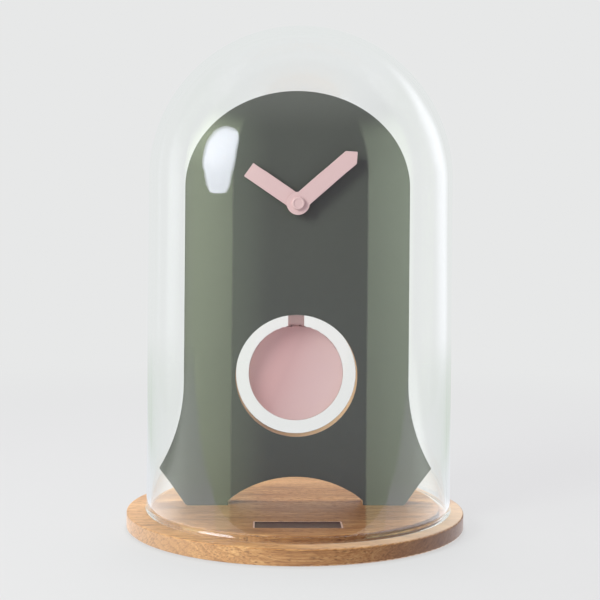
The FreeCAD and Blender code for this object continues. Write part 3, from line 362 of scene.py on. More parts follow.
# Panels that only mirrors see
card_distance = 2.2
card_low = -1.6
card_high = 2.3
card_steps = 24
panel_low_span = (-0.5, 0.3)
panel_low_level = 0.75
panel_high_span = (0.3, 1.1)
panel_top_span = (1.05, 2.15)
panel_inner_span = (-1.4, -0.8)
panel_inner_level = 0.85
panel_melt_span = (0.7, 1.3)
left_panel_start = math.radians(-51.5)
left_panel_end = math.radians(-95)
left_panel_colour = (2.0, 2.3, 1.6)
left_panel_top_level = 1.45
left_melt = (math.radians(80), math.radians(96), 0.35)
right_panel_start = math.radians(48)
right_panel_end = math.radians(96)
right_panel_colour = (1.62, 1.9, 1.45)
right_panel_top_level = 0.85
right_melt = (math.radians(83), math.radians(91), 1.0)

# The upright strip behind the clock, at the right
strip_middle = math.radians(124)
strip_half_width = math.radians(16)
strip_core_share = 0.15
strip_lean = math.radians(17)
strip_lean_span = (1.2, 2.2)
strip_foot_lean = math.radians(7)
strip_foot_span = (0.0, 0.6)
strip_fade_in_span = (-0.45, 0.10)
strip_fade_out_span = (1.15, 2.25)
strip_low_colour = (1.22, 1.23, 1.30)
strip_high_colour = (1.62, 1.63, 1.72)
strip_colour_span = (0.0, 0.7)

# The softbox at the upper left. A power above 2 makes that quarter of its outline squarer
softbox_azimuth = math.radians(-65.4)
softbox_height_angle = math.radians(16.40)
softbox_half_width = math.radians(14.4)
softbox_half_height = math.radians(15.10)
softbox_outer_top_power = 1.9
softbox_outer_bottom_power = 4.4
softbox_inner_top_power = 4
softbox_inner_bottom_power = 5
softbox_corners = 72
softbox_distance = 1.5
softbox_seen_from = Vector((-0.05, -0.07, 0.21))
softbox_colour = (11.6, 12.0, 13.0)
softbox_dimmer_span = (0.45, 1.0)
softbox_edge_level = 0.76


# Node helpers

class Graph:
    """A few short words for building a node tree."""

    def __init__(self, tree):
        self.tree = tree

    def add(self, kind, **settings):
        node = self.tree.nodes.new(kind)
        for key, value in settings.items():
            setattr(node, key, value)
        return node

    def link(self, out, into):
        self.tree.links.new(out, into)

    def put(self, socket, value):
        if isinstance(value, bpy.types.NodeSocket):
            self.link(value, socket)
        else:
            socket.default_value = value

    def put_colour(self, socket, colour):
        self.put(socket, colour if isinstance(colour, bpy.types.NodeSocket) else (*colour, 1.0))

    def math(self, operation, *values, clamp=False):
        node = self.add("ShaderNodeMath", operation=operation, use_clamp=clamp)
        for socket, value in zip(node.inputs, values):
            self.put(socket, value)
        return node.outputs[0]

    def plus(self, a, b):
        return self.math("ADD", a, b)

    def minus(self, a, b):
        return self.math("SUBTRACT", a, b)

    def times(self, a, b):
        return self.math("MULTIPLY", a, b)

    def larger(self, a, b):
        return self.math("MAXIMUM", a, b)

    def above(self, value, limit):
        return self.math("GREATER_THAN", value, limit)

    def size(self, value):
        return self.math("ABSOLUTE", value)

    def length(self, a, b):
        return self.math("SQRT", self.plus(self.times(a, a), self.times(b, b)))

    def weighted(self, *pairs):
        """The sum of each value times its share."""
        parts = [self.times(value, share) for value, share in pairs]
        total = parts[0]
        for part in parts[1:]:
            total = self.plus(total, part)
        return total

    def place(self):
        return self.add("ShaderNodeTexCoord").outputs["Object"]

    def generated(self):
        return self.split(self.add("ShaderNodeTexCoord").outputs["Generated"])

    def position(self):
        return self.split(self.add("ShaderNodeNewGeometry").outputs["Position"])

    def normal(self):
        return self.split(self.add("ShaderNodeNewGeometry").outputs["Normal"])

    def ray(self, *kinds):
        path = self.add("ShaderNodeLightPath")
        outs = [path.outputs[kind] for kind in kinds]
        return outs[0] if len(outs) == 1 else outs

    def split(self, vector):
        node = self.add("ShaderNodeSeparateXYZ")
        self.link(vector, node.inputs[0])
        return node.outputs

    def join(self, x, y, z):
        node = self.add("ShaderNodeCombineXYZ")
        for socket, value in zip(node.inputs, (x, y, z)):
            self.put(socket, value)
        return node.outputs[0]

    def scaled(self, vector, factors):
        node = self.add("ShaderNodeVectorMath", operation="MULTIPLY")
        self.link(vector, node.inputs[0])
        node.inputs[1].default_value = factors
        return node.outputs[0]

    def noise(self, vector, scale, detail, roughness=0.5):
        node = self.add("ShaderNodeTexNoise")
        self.link(vector, node.inputs["Vector"])
        node.inputs["Scale"].default_value = scale
        node.inputs["Detail"].default_value = detail
        node.inputs["Roughness"].default_value = roughness
        return node.outputs["Fac"]

    def figure(self, vector, stretch, *grain):
        return self.noise(self.scaled(vector, stretch), *grain)

    def ramp(self, value, stops, interpolation="LINEAR"):
        node = self.add("ShaderNodeValToRGB")
        node.color_ramp.interpolation = interpolation
        elements = node.color_ramp.elements
        while len(elements) < len(stops):
            elements.new(0.5)
        for element, (at, colour) in zip(elements, stops):
            element.position = at
            element.color = (*colour, 1.0)
        self.link(value, node.inputs[0])
        return node.outputs[0]

    def span(self, value, low, high, to_low=0.0, to_high=1.0, smooth=False):
        node = self.add("ShaderNodeMapRange", clamp=True)
        node.interpolation_type = "SMOOTHSTEP" if smooth else "LINEAR"
        for socket, item in zip(node.inputs, (value, low, high, to_low, to_high)):
            self.put(socket, item)
        return node.outputs[0]

    def soft_span(self, value, *ends):
        return self.span(value, *ends, smooth=True)

    def mix(self, amount, a, b):
        node = self.add("ShaderNodeMix", data_type="RGBA", clamp_factor=True)
        self.put(node.inputs[0], amount)
        self.put_colour(node.inputs[6], a)
        self.put_colour(node.inputs[7], b)
        return node.outputs[2]

    def blend(self, amount, a, b):
        """A number between a and b."""
        node = self.add("ShaderNodeMix", data_type="FLOAT", clamp_factor=True)
        for index, value in ((0, amount), (2, a), (3, b)):
            self.put(node.inputs[index], value)
        return node.outputs[0]

    def mix_shaders(self, amount, a, b):
        node = self.add("ShaderNodeMixShader")
        for socket, value in zip(node.inputs, (amount, a, b)):
            self.put(socket, value)
        return node.outputs[0]

    def plain_shader(self, kind, colour, strength=None):
        """A shader with a colour and, where it has one, a strength or density."""
        node = self.add(kind)
        self.put_colour(node.inputs[0], colour)
        if strength is not None:
            self.put(node.inputs[1], strength)
        return node.outputs[0]

    def emission(self, colour, strength=1.0):
        return self.plain_shader("ShaderNodeEmission", colour, strength)

    def transparent(self, colour=(1.0, 1.0, 1.0)):
        return self.plain_shader("ShaderNodeBsdfTransparent", colour)

    def bump(self, height, distance, strength, normal=None):
        node = self.add("ShaderNodeBump")
        node.inputs["Distance"].default_value = distance
        node.inputs["Strength"].default_value = strength
        self.link(height, node.inputs["Height"])
        if normal is not None:
            self.link(normal, node.inputs["Normal"])
        return node.outputs[0]

    def rounded(self, radius):
        node = self.add("ShaderNodeBevel", samples=edge_samples)
        node.inputs["Radius"].default_value = radius
        return node.outputs[0]

    def principled(self, colour, roughness, metallic=0.0, normal=None, **more):
        node = self.add("ShaderNodeBsdfPrincipled")
        self.put_colour(node.inputs["Base Color"], colour)
        self.put(node.inputs["Roughness"], roughness)
        self.put(node.inputs["Metallic"], metallic)
        if normal is not None:
            self.link(normal, node.inputs["Normal"])
        for key, value in more.items():
            name = key.replace("_", " ").title().replace("Ior", "IOR")
            self.put(node.inputs[name], value)
        return node.outputs[0]

    def finish(self, shader, inside=None):
        out = self.add("ShaderNodeOutputMaterial")
        self.link(shader, out.inputs["Surface"])
        if inside is not None:
            self.link(inside, out.inputs["Volume"])


def new_material(name):
    material = bpy.data.materials.new(name)
    material.use_nodes = True
    material.node_tree.nodes.clear()
    return material, Graph(material.node_tree)


def new_glowing_material(name):
    """A studio material whose glow is only looked at, so no light is sampled from it."""
    material, g = new_material(name)
    material.cycles.emission_sampling = "NONE"
    return material, g


def give(material, *names):
    for name in names:
        for slot in nodes[name].material_slots:
            slot.material = material


# Oak

def oak_rings(g, place, y, z):
    """The waving distance across the boards, and 1 in the dark late wood of a year ring."""
    across = y
    for figure, width in ((oak_drift, oak_drift_width), (oak_wave, oak_wave_width)):
        across = g.plus(across, g.times(g.minus(g.figure(place, *figure), 0.5), width))
    # the heart lies below, so the rings are wide arcs about an axis along X
    ring = g.length(across, g.plus(z, oak_heart_depth))
    year = g.math("FRACT", g.times(ring, oak_rings_per_metre))
    return across, g.ramp(year, oak_late_wood)


def oak_pores(g, place, late):
    """Short dark dashes, thick in the early wood."""
    pores = g.soft_span(g.figure(place, *oak_pore), *oak_pore_span)
    crowd = g.plus(g.times(g.minus(1.0, late), oak_pores_in_early_wood), oak_pores_anywhere)
    return g.math("MULTIPLY", pores, crowd, clamp=True)


def oak_long_grain(g, fibre, broad, late, pores):
    """The boards' faces, with long fine fibres."""
    tone = g.weighted((fibre, oak_fibre_share), (broad, oak_broad_share), (late, oak_late_share))
    colour = g.ramp(g.minus(tone, oak_tone_down), oak_tones)
    return g.mix(g.times(pores, oak_pore_share), colour, oak_pore_colour)


def oak_end_grain(g, x, y, z, broad, late):
    """The boards' ends, where the rings stand at a slant and cut pores and rays are slanting strokes."""
    slant = g.times(g.math("SIGN", x), y)
    slanted = g.join(g.plus(slant, z), g.minus(slant, z), x)
    strokes = g.soft_span(g.figure(slanted, *oak_stroke), *oak_stroke_span)
    colour = g.ramp(g.weighted((late, oak_end_late_share), (broad, oak_end_broad_share)), oak_end_tones)
    return g.mix(g.times(strokes, oak_stroke_share), colour, oak_stroke_colour)


def oak_painted_shade_and_sheen(g, colour, x, nz):
    """The rim's right side, away from the key lamp, is darker with painted shade; its left, towards the
    lamp, is paler with painted sheen.
    """
    upright = g.minus(1.0, g.size(nz))
    # painted shade on the upright faces at the right
    dark = g.times(g.span(x, *oak_painted_shade_span), upright)
    colour = g.mix(g.times(dark, oak_painted_shade_share), colour, oak_painted_shade_colour)
    # painted sheen at the left, stronger on the rim's upright faces
    pale = g.times(g.span(x, *oak_painted_sheen_rim_span, 0.0, oak_painted_sheen_rim_share), upright)
    pale = g.larger(pale, g.span(x, *oak_painted_sheen_span, 0.0, oak_painted_sheen_share))
    return g.mix(pale, colour, oak_painted_sheen_colour)


def oak_top(g, colour, x, y, across, flat):
    """Painted light on the top behind the board, the board's painted shadow on the top in front of it, and a
    painted sheen on the ledge at the right.
    """
    # painted light behind the board
    light = g.times(g.span(y, *oak_painted_light_behind_board_span, 0.0, oak_painted_light_behind_board_share), flat)
    colour = g.mix(light, colour, oak_painted_light_behind_board_colour)
    # the board's painted shadow in front of it
    brown = g.times(g.span(across, *oak_painted_shadow_back), g.span(across, *oak_painted_shadow_front))
    brown = g.times(brown, g.soft_span(g.size(x), *oak_painted_shadow_half_width, 1.0, 0.0))
    colour = g.mix(g.times(g.times(brown, flat), oak_painted_shadow_share), colour, oak_painted_shadow_colour)
    # painted sheen on the ledge at the right
    ledge = g.times(g.span(g.length(x, y), *oak_painted_sheen_ledge_edge), flat)
    ledge = g.times(ledge, g.span(x, *oak_painted_sheen_ledge_span, *oak_painted_sheen_ledge_shares))
    return g.mix(ledge, colour, oak_painted_sheen_ledge_colour)


def oak_material():
    """Oiled oak with open pores, its boards' grain along X and end grain on the rim's two sides."""
    material, g = new_material("oak")
    place = g.place()
    x, y, z = g.split(place)
    nx, ny, nz = g.normal()
    across, late = oak_rings(g, place, y, z)
    fibre = g.figure(place, *oak_fibre)
    broad = g.figure(place, *oak_broad)
    pores = oak_pores(g, place, late)
    end = g.soft_span(g.size(nx), *oak_end_span)
    colour = g.mix(end, oak_long_grain(g, fibre, broad, late, pores), oak_end_grain(g, x, y, z, broad, late))
    # painted shade and sheen on the rim's sides, then painted light, shadow and sheen on the top
    colour = oak_painted_shade_and_sheen(g, colour, x, nz)
    colour = oak_top(g, colour, x, y, across, g.span(nz, *oak_top_span))
    normal = g.bump(g.minus(g.times(fibre, oak_fibre_relief), pores), *oak_bump)
    rough = g.span(pores, 0.0, 1.0, *oak_roughness)
    g.finish(g.principled(colour, rough, normal=normal, specular_ior_level=oak_specular))
    return material


# The other materials

def stippled(g, grain, edge):
    """Sprayed paint's fine stipple, and its normal with softly rounded edges."""
    stipple = g.noise(g.place(), grain, paint_stipple_detail, paint_stipple_roughness)
    return stipple, g.bump(stipple, *paint_bump, g.rounded(edge))


def swinging(g, texture, middle, swing):
    """A roughness that swings about a middle with the texture."""
    return g.span(texture, *texture_span, middle - swing, middle + swing)


def brightened(colour, share):
    """A colour made lighter by a share, or darker where the share is negative."""
    return tuple(min(1, c * (1 + share)) for c in colour)


def paint_material(name, colour, grain, roughness, speck):
    """Sprayed matt paint with a fine stipple and a faint cloudiness."""
    material, g = new_material(name)
    stipple, normal = stippled(g, grain, paint_edge)
    cloud = g.noise(g.place(), *paint_cloud)
    tone = g.weighted((cloud, paint_cloud_share), (stipple, paint_stipple_share))
    ends = (brightened(colour, -speck), brightened(colour, speck))
    shade = g.ramp(tone, list(zip(tone_span, ends)))
    rough = swinging(g, stipple, roughness, paint_roughness_swing)
    g.finish(g.principled(shade, rough, normal=normal))
    return material


def bob_material():
    """The bob's pink paint, with painted light on its front: lighter at the upper-left edge, where the
    window's edge shades it, and lighter and bluer at the lower right, where the lamp falls.
    """
    material, g = new_material("bob_paint")
    across, deep, up = g.generated()
    nx, ny, nz = g.normal()
    stipple, normal = stippled(g, bob_grain, paint_edge)
    # painted light: the upper-left edge is lightened where the window's edge shades it
    slant = g.weighted((g.minus(0.5, across), bob_painted_light_across), (g.minus(up, 0.5), bob_painted_light_up))
    front = g.ramp(g.plus(slant, 0.5), bob_painted_light_tones)
    colour = g.mix(g.span(ny, *bob_front_span), bob_side_colour, front)
    rough = swinging(g, stipple, bob_roughness, paint_roughness_swing)
    g.finish(g.principled(colour, rough, normal=normal))
    return material


def plate_material():
    """The plate's lacquered frame: pale on its upper rim, dark in its well."""
    material, g = new_material("plate_lacquer")
    nx, ny, nz = g.normal()
    stipple, normal = stippled(g, plate_grain, plate_edge)
    wall = g.ramp(stipple, plate_wall_tones)
    rim = g.ramp(stipple, plate_rim_tones)
    g.finish(g.principled(g.mix(g.span(nz, *plate_rim_span), wall, rim), plate_roughness, normal=normal))
    return material


def fibre_material():
    """The board's raw core: pale pressed wood fibre in faint layers."""
    material, g = new_material("board_fibre")
    place = g.place()
    layer = g.figure(place, *fibre_layer)
    fleck = g.noise(place, *fibre_fleck)
    cloud = g.noise(place, *fibre_cloud)
    tone = g.weighted((layer, fibre_layer_share), (fleck, fibre_fleck_share), (cloud, fibre_cloud_share))
    g.finish(g.principled(g.ramp(tone, fibre_tones), fibre_roughness, normal=g.bump(fleck, *fibre_bump),
                          specular_ior_level=fibre_specular))
    return material


def glass_material():
    """Clear soda glass that lets the studio's light through to what stands inside."""
    material, g = new_material("dome_glass")
    normal = g.bump(g.figure(g.place(), *glass_wave), *glass_bump)
    glass = g.principled(glass_colour, 0.0, normal=normal, transmission_weight=1.0, ior=glass_ior)
    shadow, diffuse = g.ray("Is Shadow Ray", "Is Diffuse Ray")
    mirrorings, bounces = g.ray("Glossy Depth", "Ray Depth")
    # light that runs round inside the wall comes out in the end as the studio's light
    caught = g.larger(g.above(mirrorings, caught_after_mirrorings), g.above(bounces, caught_after_bounces))
    glass = g.mix_shaders(caught, glass, g.emission(caught_light_colour))
    shell = g.mix_shaders(g.larger(shadow, diffuse), glass, g.transparent(glass_light_colour))
    g.finish(shell, g.plain_shader("ShaderNodeVolumeAbsorption", glass_body_colour, glass_body_density))
    return material


def plastic_material(name, colour, roughness):
    """Moulded plastic with a fine spark-eroded texture."""
    material, g = new_material(name)
    place = g.place()
    texture = g.noise(place, *plastic_texture)
    ends = (brightened(colour, -plastic_tone_swing), brightened(colour, plastic_tone_swing))
    shade = g.ramp(g.noise(place, *plastic_flow), list(zip(tone_span, ends)))
    normal = g.bump(texture, *plastic_bump, g.rounded(plastic_edge))
    g.finish(g.principled(shade, swinging(g, texture, roughness, plastic_roughness_swing), normal=normal))
    return material


def metal_material(name, colour, roughness, brushed):
    """Worked metal with fine marks along one direction and a little tarnish."""
    material, g = new_material(name)
    place = g.place()
    marks = g.figure(place, brushed, *metal_marks)
    ends = (tuple(c * metal_tarnish_level for c in colour), colour)
    shade = g.ramp(g.noise(place, *metal_tarnish), list(zip(metal_tarnish_span, ends)))
    normal = g.bump(marks, *metal_bump, g.rounded(metal_edge))
    smooth = max(metal_least_roughness, roughness - metal_smoother)
    rough = g.span(marks, *metal_marks_span, smooth, roughness + metal_rougher)
    g.finish(g.principled(shade, rough, metallic=1.0, normal=normal))
    return material


def winding_material():
    """Fine enamelled copper wire, wound in close turns along the coil's axis."""
    material, g = new_material("enamelled_copper")
    place = g.place()
    x, y, z = g.split(place)
    groove = g.size(g.minus(g.math("FRACT", g.times(z, 1 / wire_pitch)), 0.5))
    flaw = g.noise(place, *winding_flaw)
    tone = g.weighted((groove, winding_groove_share), (flaw, winding_flaw_share))
    g.finish(g.principled(g.ramp(tone, winding_tones), winding_roughness, metallic=winding_metallic,
                          normal=g.bump(groove, *winding_bump), coat_weight=winding_coat))
    return material


def felt_material():
    """Grey pressed felt with short loose hairs."""
    material, g = new_material("felt")
    place = g.place()
    hair = g.noise(place, *felt_hair)
    mat = g.noise(place, *felt_mat)
    shade = g.ramp(g.weighted((hair, felt_hair_share), (mat, felt_mat_share)), felt_tones)
    g.finish(g.principled(shade, felt_roughness, normal=g.bump(hair, *felt_bump), sheen_weight=felt_sheen))
    return material


def laminate_material():
    """Circuit board with copper tracks under green lacquer, and a black blob over the chip."""
    material, g = new_material("circuit_laminate")
    place = g.place()
    x, y, z = g.split(place)
    track = g.add("ShaderNodeTexBrick", offset=0.5)
    g.link(g.join(x, z, 0.0), track.inputs["Vector"])
    track.inputs["Scale"].default_value = track_scale
    track.inputs["Mortar Size"].default_value = track_gap
    for name, colour in track_colours.items():
        g.put_colour(track.inputs[name], colour)
    shade = g.mix(g.span(y, *blob_span), track.outputs[0], blob_colour)
    normal = g.bump(g.noise(place, *laminate_weave), *laminate_bump, g.rounded(laminate_edge))
    g.finish(g.principled(shade, laminate_roughness, normal=normal))
    return material


def jacket_material():
    """A plain battery jacket: dark grey with a copper-coloured end, and bare steel at both ends."""
    material, g = new_material("battery_jacket")
    place = g.place()
    x, y, z = g.split(place)
    wrap = g.ramp(g.span(x, *jacket_span), jacket_bands, "CONSTANT")
    scuff = g.noise(place, *jacket_scuff)
    shade = g.mix(g.span(scuff, *jacket_scuff_span, 0.0, jacket_scuff_share), wrap, jacket_scuff_colour)
    left, right = jacket_steel_ends
    steel = g.larger(g.above(x, right), g.math("LESS_THAN", x, left))
    g.finish(g.principled(shade, jacket_roughness, metallic=steel, normal=g.bump(scuff, *jacket_bump)))
    return material


# The pieces that keep their CAD shape: their materials and soft edges

give(oak_material(), "oak_base")
give(felt_material(), *[f"felt_pad_{i}" for i in (1, 2, 3, 4)])
give(plate_material(), "name_plate")
give(fibre_material(), "board_core")
give(bob_material(), "pendulum_bob")
give(winding_material(), "motor_coil", "drive_coil")
give(laminate_material(), "circuit_board")
give(jacket_material(), "battery")
for maker, pieces in ((paint_material, sprayed_pieces), (plastic_material, moulded_pieces),
                      (metal_material, metal_pieces)):
    for *settings, wearers in pieces:
        give(maker(*settings), *wearers)


def soften(width, *names):
    """Joins the mesh's corners and rounds its sharp edges a little."""
    for name in names:
        weld = nodes[name].modifiers.new("weld", "WELD")
        weld.merge_threshold = weld_distance
        bevel = nodes[name].modifiers.new("soft_edges", "BEVEL")
        bevel.width = width
        bevel.segments = edge_segments
        bevel.limit_method = "ANGLE"
        bevel.angle_limit = edge_angle
        bevel.use_clamp_overlap = False
        bevel.harden_normals = False


soften(hand_edge, "hour_hand", "minute_hand")
soften(pendulum_edge, "pendulum_bob", "pendulum_rod")


# The glass dome, turned as one smooth shell

def new_object(name, data):
    piece = bpy.data.objects.new(name, data)
    bpy.context.scene.collection.objects.link(piece)
    return piece


def mesh_object(name, bm, material):
    mesh = bpy.data.meshes.new(name)
    bm.to_mesh(mesh)
    bm.free()
    mesh.materials.append(material)
    return new_object(name, mesh)


def arc_points(middle_r, middle_z, radius, start, end, steps):
    points = []
    for i in range(steps + 1):
        turn = start + (end - start) * i / steps
        points.append((middle_r + radius * math.cos(turn), middle_z + radius * math.sin(turn)))
    return points


def straight_points(r, start, end, steps):
    """Points of a straight wall between two heights, without the ends."""
    return [(r, start + (end - start) * i / steps) for i in range(1, steps)]


def lathe(profile, middle_x, middle_y, turns):
    """Turns an outline of (radius, height) points about a vertical axis; points at radius 0 are poles."""
    bm = bmesh.new()
    rings = []
    for r, z in profile:
        ring = []
        for i in range(1 if r < pole_radius else turns):
            turn = 2 * math.pi * i / turns
            ring.append(bm.verts.new((middle_x + r * math.cos(turn), middle_y + r * math.sin(turn), z)))
        rings.append(ring)
    for a, b in zip(rings, rings[1:]):
        for i in range(turns):
            j = (i + 1) % turns
            corners = []
            for v in (a[i % len(a)], a[j % len(a)], b[j % len(b)], b[i % len(b)]):
                if v not in corners:
                    corners.append(v)
            if len(corners) > 2:
                bm.faces.new(corners)
    bmesh.ops.recalc_face_normals(bm, faces=bm.faces)
    for face in bm.faces:
        face.smooth = True
    return bm


def dome_profile(low, high):
    """Inner wall from the crown down, round the rim and up the outer wall to the crown."""
    outer = (high[0] - low[0]) / 2
    inner = outer - dome_wall
    outer_spring = high[2] - outer
    inner_spring = high[2] - dome_crown_thickness - inner
    e = dome_rim_round
    rim = low[2]
    quarter = math.pi / 2
    points = arc_points(0, inner_spring, inner, quarter, 0, dome_crown_steps)
    points[0] = (0, points[0][1])
    points += straight_points(inner, inner_spring, rim + e, dome_wall_steps)
    points += arc_points(inner + e, rim + e, e, 2 * quarter, 3 * quarter, rim_steps)
    # the lip turns out a little: a round edge, then a hollow that runs into the wall
    slope, hollow = dome_lip_slope, dome_lip_hollow
    lip_r = outer + hollow * (1 - math.cos(slope)) - e * math.cos(slope)
    wall_start = rim + e + (e + hollow) * math.sin(slope)
    points += arc_points(lip_r, rim + e, e, -quarter, slope, 2 * rim_steps)
    points += arc_points(outer + hollow, wall_start, hollow, 2 * quarter + slope, 2 * quarter, rim_steps)[1:]
    points += straight_points(outer, wall_start, outer_spring, dome_wall_steps)
    crown = arc_points(0, outer_spring, outer, 0, quarter, dome_crown_steps)
    crown[-1] = (0, crown[-1][1])
    return points + crown


low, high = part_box("glass_dome")
bell = lathe(dome_profile(low, high), (low[0] + high[0]) / 2, (low[1] + high[1]) / 2, dome_turns)
dome = mesh_object("glass_bell", bell, glass_material())
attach(dome, "dome")
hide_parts("glass_dome")


# The studio's backdrop and floor

def reflected(g):
    """1 on a ray that has been mirrored by some surface on its way, else 0."""
    return g.above(g.ray("Glossy Depth"), 0.5)


def ring_ground(g, slope):
    """How much a place on the floor or backdrop lies behind the board's window, seen through the glass,
    where it takes a painted lighter patch.

    The slope is the place's sideways distance over its depth, counted from the camera's place.
    """
    off = g.size(g.minus(slope, ring_ground_slope))
    near = g.soft_span(off, *ring_ground_span, ring_ground_share, 0.0)
    return g.times(near, g.ray("Is Transmission Ray"))


def studio_in_mirrors(g, x, y, z):
    """The lit backdrop behind and above, and a dim room in front."""
    behind = g.soft_span(y, *behind_span)
    overhead = g.soft_span(z, *ceiling_span, 0.0, ceiling_level)
    room = g.mix(g.span(z, *front_floor_span, 1.0, 0.0), front_room_colour, front_floor_colour)
    room = g.mix(g.soft_span(x, *left_glow_span, 1.0, 0.0), room, left_glow_colour)
    return g.mix(g.larger(behind, overhead), room, backdrop_colour)


def make_world():
    world = bpy.data.worlds.new("studio")
    bpy.context.scene.world = world
    world.use_nodes = True
    world.node_tree.nodes.clear()
    g = Graph(world.node_tree)
    x, y, z = g.generated()
    camera, through, glossy = g.ray("Is Camera Ray", "Is Transmission Ray", "Is Glossy Ray")
    seen = g.larger(g.larger(camera, through), glossy)
    # painted brighter patch of backdrop behind the board's window
    ring = ring_ground(g, g.math("DIVIDE", x, g.larger(y, least_depth)))
    ring = g.times(ring, g.span(z, *ring_ground_wall_span, 1.0, 0.0))
    plain = g.mix(ring, backdrop_colour, ring_ground_painted_light_colour)
    shown = g.mix(reflected(g), plain, studio_in_mirrors(g, x, y, z))
    fill = g.span(x, -1.0, 1.0, fill_from_left, fill_from_right)
    fill = g.times(fill, g.span(z, 0.0, 1.0, 1.0, fill_from_above_share))
    colour = g.mix(seen, fill_colour, shown)
    background = g.plain_shader("ShaderNodeBackground", colour, g.blend(seen, fill, 1.0))
    out = g.add("ShaderNodeOutputWorld")
    g.link(background, out.inputs["Surface"])


def floor_material():
    """Plain pale table top that fades into the backdrop and ends in front where mirrors see it."""
    material, g = new_glowing_material("floor")
    x, y, z = g.position()
    far = g.length(x, y)
    glow = g.emission(backdrop_colour)
    top = g.plain_shader("ShaderNodeBsdfDiffuse", floor_colour)
    table = g.mix_shaders(floor_own_light_share, top, glow)
    faded = g.mix_shaders(g.soft_span(far, *floor_fade_span), table, glow)
    # painted brighter patch of floor behind the board's window
    slope = g.math("DIVIDE", g.minus(x, camera_place.x), g.minus(y, camera_place.y))
    ring = g.times(ring_ground(g, slope), g.span(y, *ring_ground_floor_span))
    faded = g.mix_shaders(ring, faded, g.emission(ring_ground_painted_light_colour))
    gone = g.larger(g.math("LESS_THAN", y, table_front), g.soft_span(far, *floor_mirrored_span))
    beside = g.span(g.size(x), *floor_beside_span)
    level = g.span(y, *floor_in_mirrors_span, floor_in_mirrors, 1.0)
    shine = g.emission(g.mix(beside, floor_mirrored_near, floor_mirrored_far), level)
    mirrored = g.mix_shaders(gone, shine, g.transparent())
    g.finish(g.mix_shaders(reflected(g), faded, mirrored))
    return material


def make_floor():
    bm = bmesh.new()
    bmesh.ops.create_circle(bm, cap_ends=True, segments=floor_corners, radius=floor_radius)
    floor = mesh_object("floor", bm, floor_material())


# What the glass mirrors: a panel on each side, a strip behind and a softbox

def azimuth_of(g, x, y):
    """A place's way round from the front, growing to the right."""
    return g.math("ARCTAN2", x, g.times(y, -1.0))


def strip_material(name):
    """A soft upright strip of light at the right, behind the clock, brighter high up."""
    material, g = new_glowing_material(name)
    x, y, z = g.position()
    middle = g.span(z, *strip_lean_span, strip_middle, strip_middle + strip_lean)
    middle = g.plus(middle, g.span(z, *strip_foot_span, strip_foot_lean, 0.0))
    off = g.size(g.minus(azimuth_of(g, x, y), middle))
    near = g.soft_span(off, strip_core_share * strip_half_width, strip_half_width, 1.0, 0.0)
    near = g.times(near, g.soft_span(z, *strip_fade_in_span))
    near = g.times(near, g.soft_span(z, *strip_fade_out_span, 1.0, 0.0))
    peak = g.mix(g.soft_span(z, *strip_colour_span), strip_low_colour, strip_high_colour)
    glow = g.emission(g.mix(near, backdrop_colour, peak))
    g.finish(g.mix_shaders(reflected(g), g.transparent(), glow))
    return material


def panel_material(name, colour, top_level, melt_start, melt_end, melt_low_share):
    """A lit panel whose top and outer end melt into the backdrop."""
    material, g = new_glowing_material(name)
    x, y, z = g.position()
    lower = g.soft_span(z, *panel_low_span, panel_low_level, 1.0)
    upper = g.soft_span(z, *panel_high_span, 1.0, top_level)
    inner = g.soft_span(y, *panel_inner_span, panel_inner_level, 1.0)
    level = g.times(g.times(lower, upper), inner)
    melted = g.times(g.soft_span(g.size(azimuth_of(g, x, y)), melt_start, melt_end),
                     g.span(z, *panel_melt_span, melt_low_share, 1.0))
    glow = g.mix_shaders(melted, g.emission(colour, level), g.emission(backdrop_colour))
    shown = g.times(reflected(g), g.soft_span(z, *panel_top_span, 1.0, 0.0))
    g.finish(g.mix_shaders(shown, g.transparent(), glow))
    return material


def softbox_material(name):
    """The softbox's cloth, a little dimmer towards its edges."""
    material, g = new_glowing_material(name)
    x, y, z = g.generated()
    off = [g.size(g.minus(g.times(v, 2.0), 1.0)) for v in (y, z)]
    level = g.soft_span(g.larger(*off), *softbox_dimmer_span, 1.0, softbox_edge_level)
    g.finish(g.mix_shaders(reflected(g), g.transparent(), g.emission(softbox_colour, level)))
    return material


def show_in_mirrors(name, bm, material):
    card = mesh_object(name, bm, material)
    card.visible_diffuse = False
    card.visible_shadow = False


def direction(azimuth, height_angle):
    """A way out from the clock; azimuth 0 is towards the front, and grows to the right."""
    level = math.cos(height_angle)
    return Vector((math.sin(azimuth) * level, -math.cos(azimuth) * level, math.sin(height_angle)))


def upright_card(name, start, end, material):
    """A curved upright card round the clock, from one azimuth to another."""
    bm = bmesh.new()
    rows = []
    for z in (card_low, card_high):
        row = []
        for i in range(card_steps + 1):
            out = direction(start + (end - start) * i / card_steps, 0) * card_distance
            row.append(bm.verts.new((out.x, out.y, z)))
        rows.append(row)
    for i in range(card_steps):
        bm.faces.new((rows[0][i], rows[0][i + 1], rows[1][i + 1], rows[1][i]))
    show_in_mirrors(name, bm, material)


def softbox_power(across, upward):
    """How square the softbox's outline is in each quarter."""
    if upward > 0:
        return softbox_inner_top_power if across > 0 else softbox_outer_top_power
    return softbox_inner_bottom_power if across > 0 else softbox_outer_bottom_power


def softbox_card(name):
    """The square softbox with round corners at the upper left, whose mirror image lies on the glass."""
    bm = bmesh.new()
    corners = []
    for i in range(softbox_corners):
        turn = 2 * math.pi * i / softbox_corners
        across, upward = math.cos(turn), math.sin(turn)
        power = softbox_power(across, upward)
        reach = (abs(across) ** power + abs(upward) ** power) ** (-1 / power)
        azimuth = softbox_azimuth + softbox_half_width * across * reach
        height_angle = softbox_height_angle + softbox_half_height * upward * reach
        corners.append(bm.verts.new(softbox_seen_from + direction(azimuth, height_angle) * softbox_distance))
    bm.faces.new(corners)
    show_in_mirrors(name, bm, softbox_material(name))


# Lamps and camera

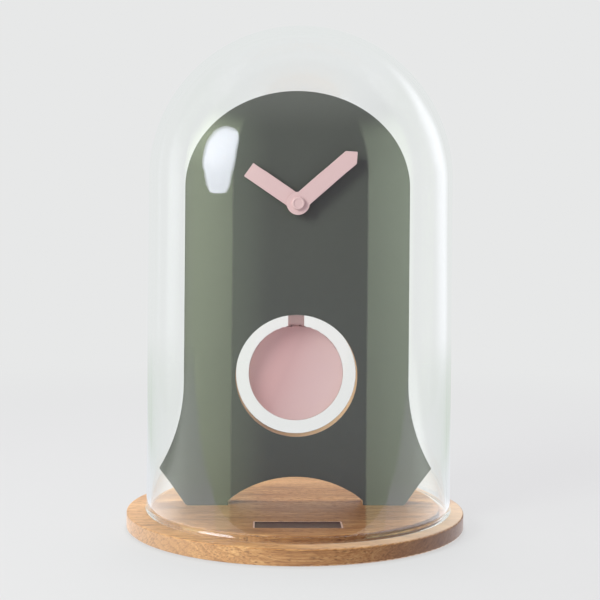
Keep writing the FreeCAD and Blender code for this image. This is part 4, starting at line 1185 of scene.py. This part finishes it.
def area_light(name, shape, size, size_y, azimuth, height_angle, distance, radiance, colour):
    """A soft lamp aimed at the clock, not seen by the camera or in mirrors."""
    light = bpy.data.lights.new(name, "AREA")
    light.shape = shape
    light.size = size
    light.size_y = size_y
    light.color = colour
    area = size * size_y * (math.pi / 4 if shape == "ELLIPSE" else 1)
    light.energy = radiance * area * math.pi
    lamp = new_object(name, light)
    out = direction(azimuth, height_angle)
    lamp.location = light_aim + out * distance
    lamp.rotation_euler = (-out).to_track_quat("-Z", "Y").to_euler()
    lamp.visible_camera = False
    lamp.visible_glossy = False
    lamp.visible_transmission = False


def make_camera():
    data = bpy.data.cameras.new("photo_camera")
    data.sensor_fit = "HORIZONTAL"
    data.sensor_width = camera_sensor
    data.lens = camera_lens
    data.shift_y = camera_shift_up
    data.clip_start = camera_nearest
    camera = new_object("photo_camera", data)
    forward = Vector((math.sin(camera_yaw) * math.cos(camera_pitch),
                      math.cos(camera_yaw) * math.cos(camera_pitch), -math.sin(camera_pitch)))
    level = Vector((math.cos(camera_yaw), -math.sin(camera_yaw), 0))
    upward = level.cross(forward)
    c, s = math.cos(camera_roll), math.sin(camera_roll)
    right = level * c + upward * s
    up = upward * c - level * s
    turn = Matrix((right, up, -forward)).transposed()
    camera.matrix_world = Matrix.Translation(camera_place) @ turn.to_4x4()
    bpy.context.scene.camera = camera


make_world()
make_floor()
upright_card("left_panel", left_panel_start, left_panel_end,
             panel_material("left_panel", left_panel_colour, left_panel_top_level, *left_melt))
upright_card("right_panel", right_panel_start, right_panel_end,
             panel_material("right_panel", right_panel_colour, right_panel_top_level, *right_melt))
upright_card("side_strip", strip_middle - strip_half_width, strip_middle + strip_half_width + strip_lean,
             strip_material("side_strip"))
softbox_card("softbox")
area_light("key", "ELLIPSE", key_width, key_height, key_azimuth, key_height_angle, key_distance,
           key_radiance, key_colour)
area_light("top", "SQUARE", top_size, top_size, top_azimuth, top_height_angle, top_distance,
           top_radiance, top_colour)
make_camera()
bpy.context.scene.view_settings.view_transform = "Standard"
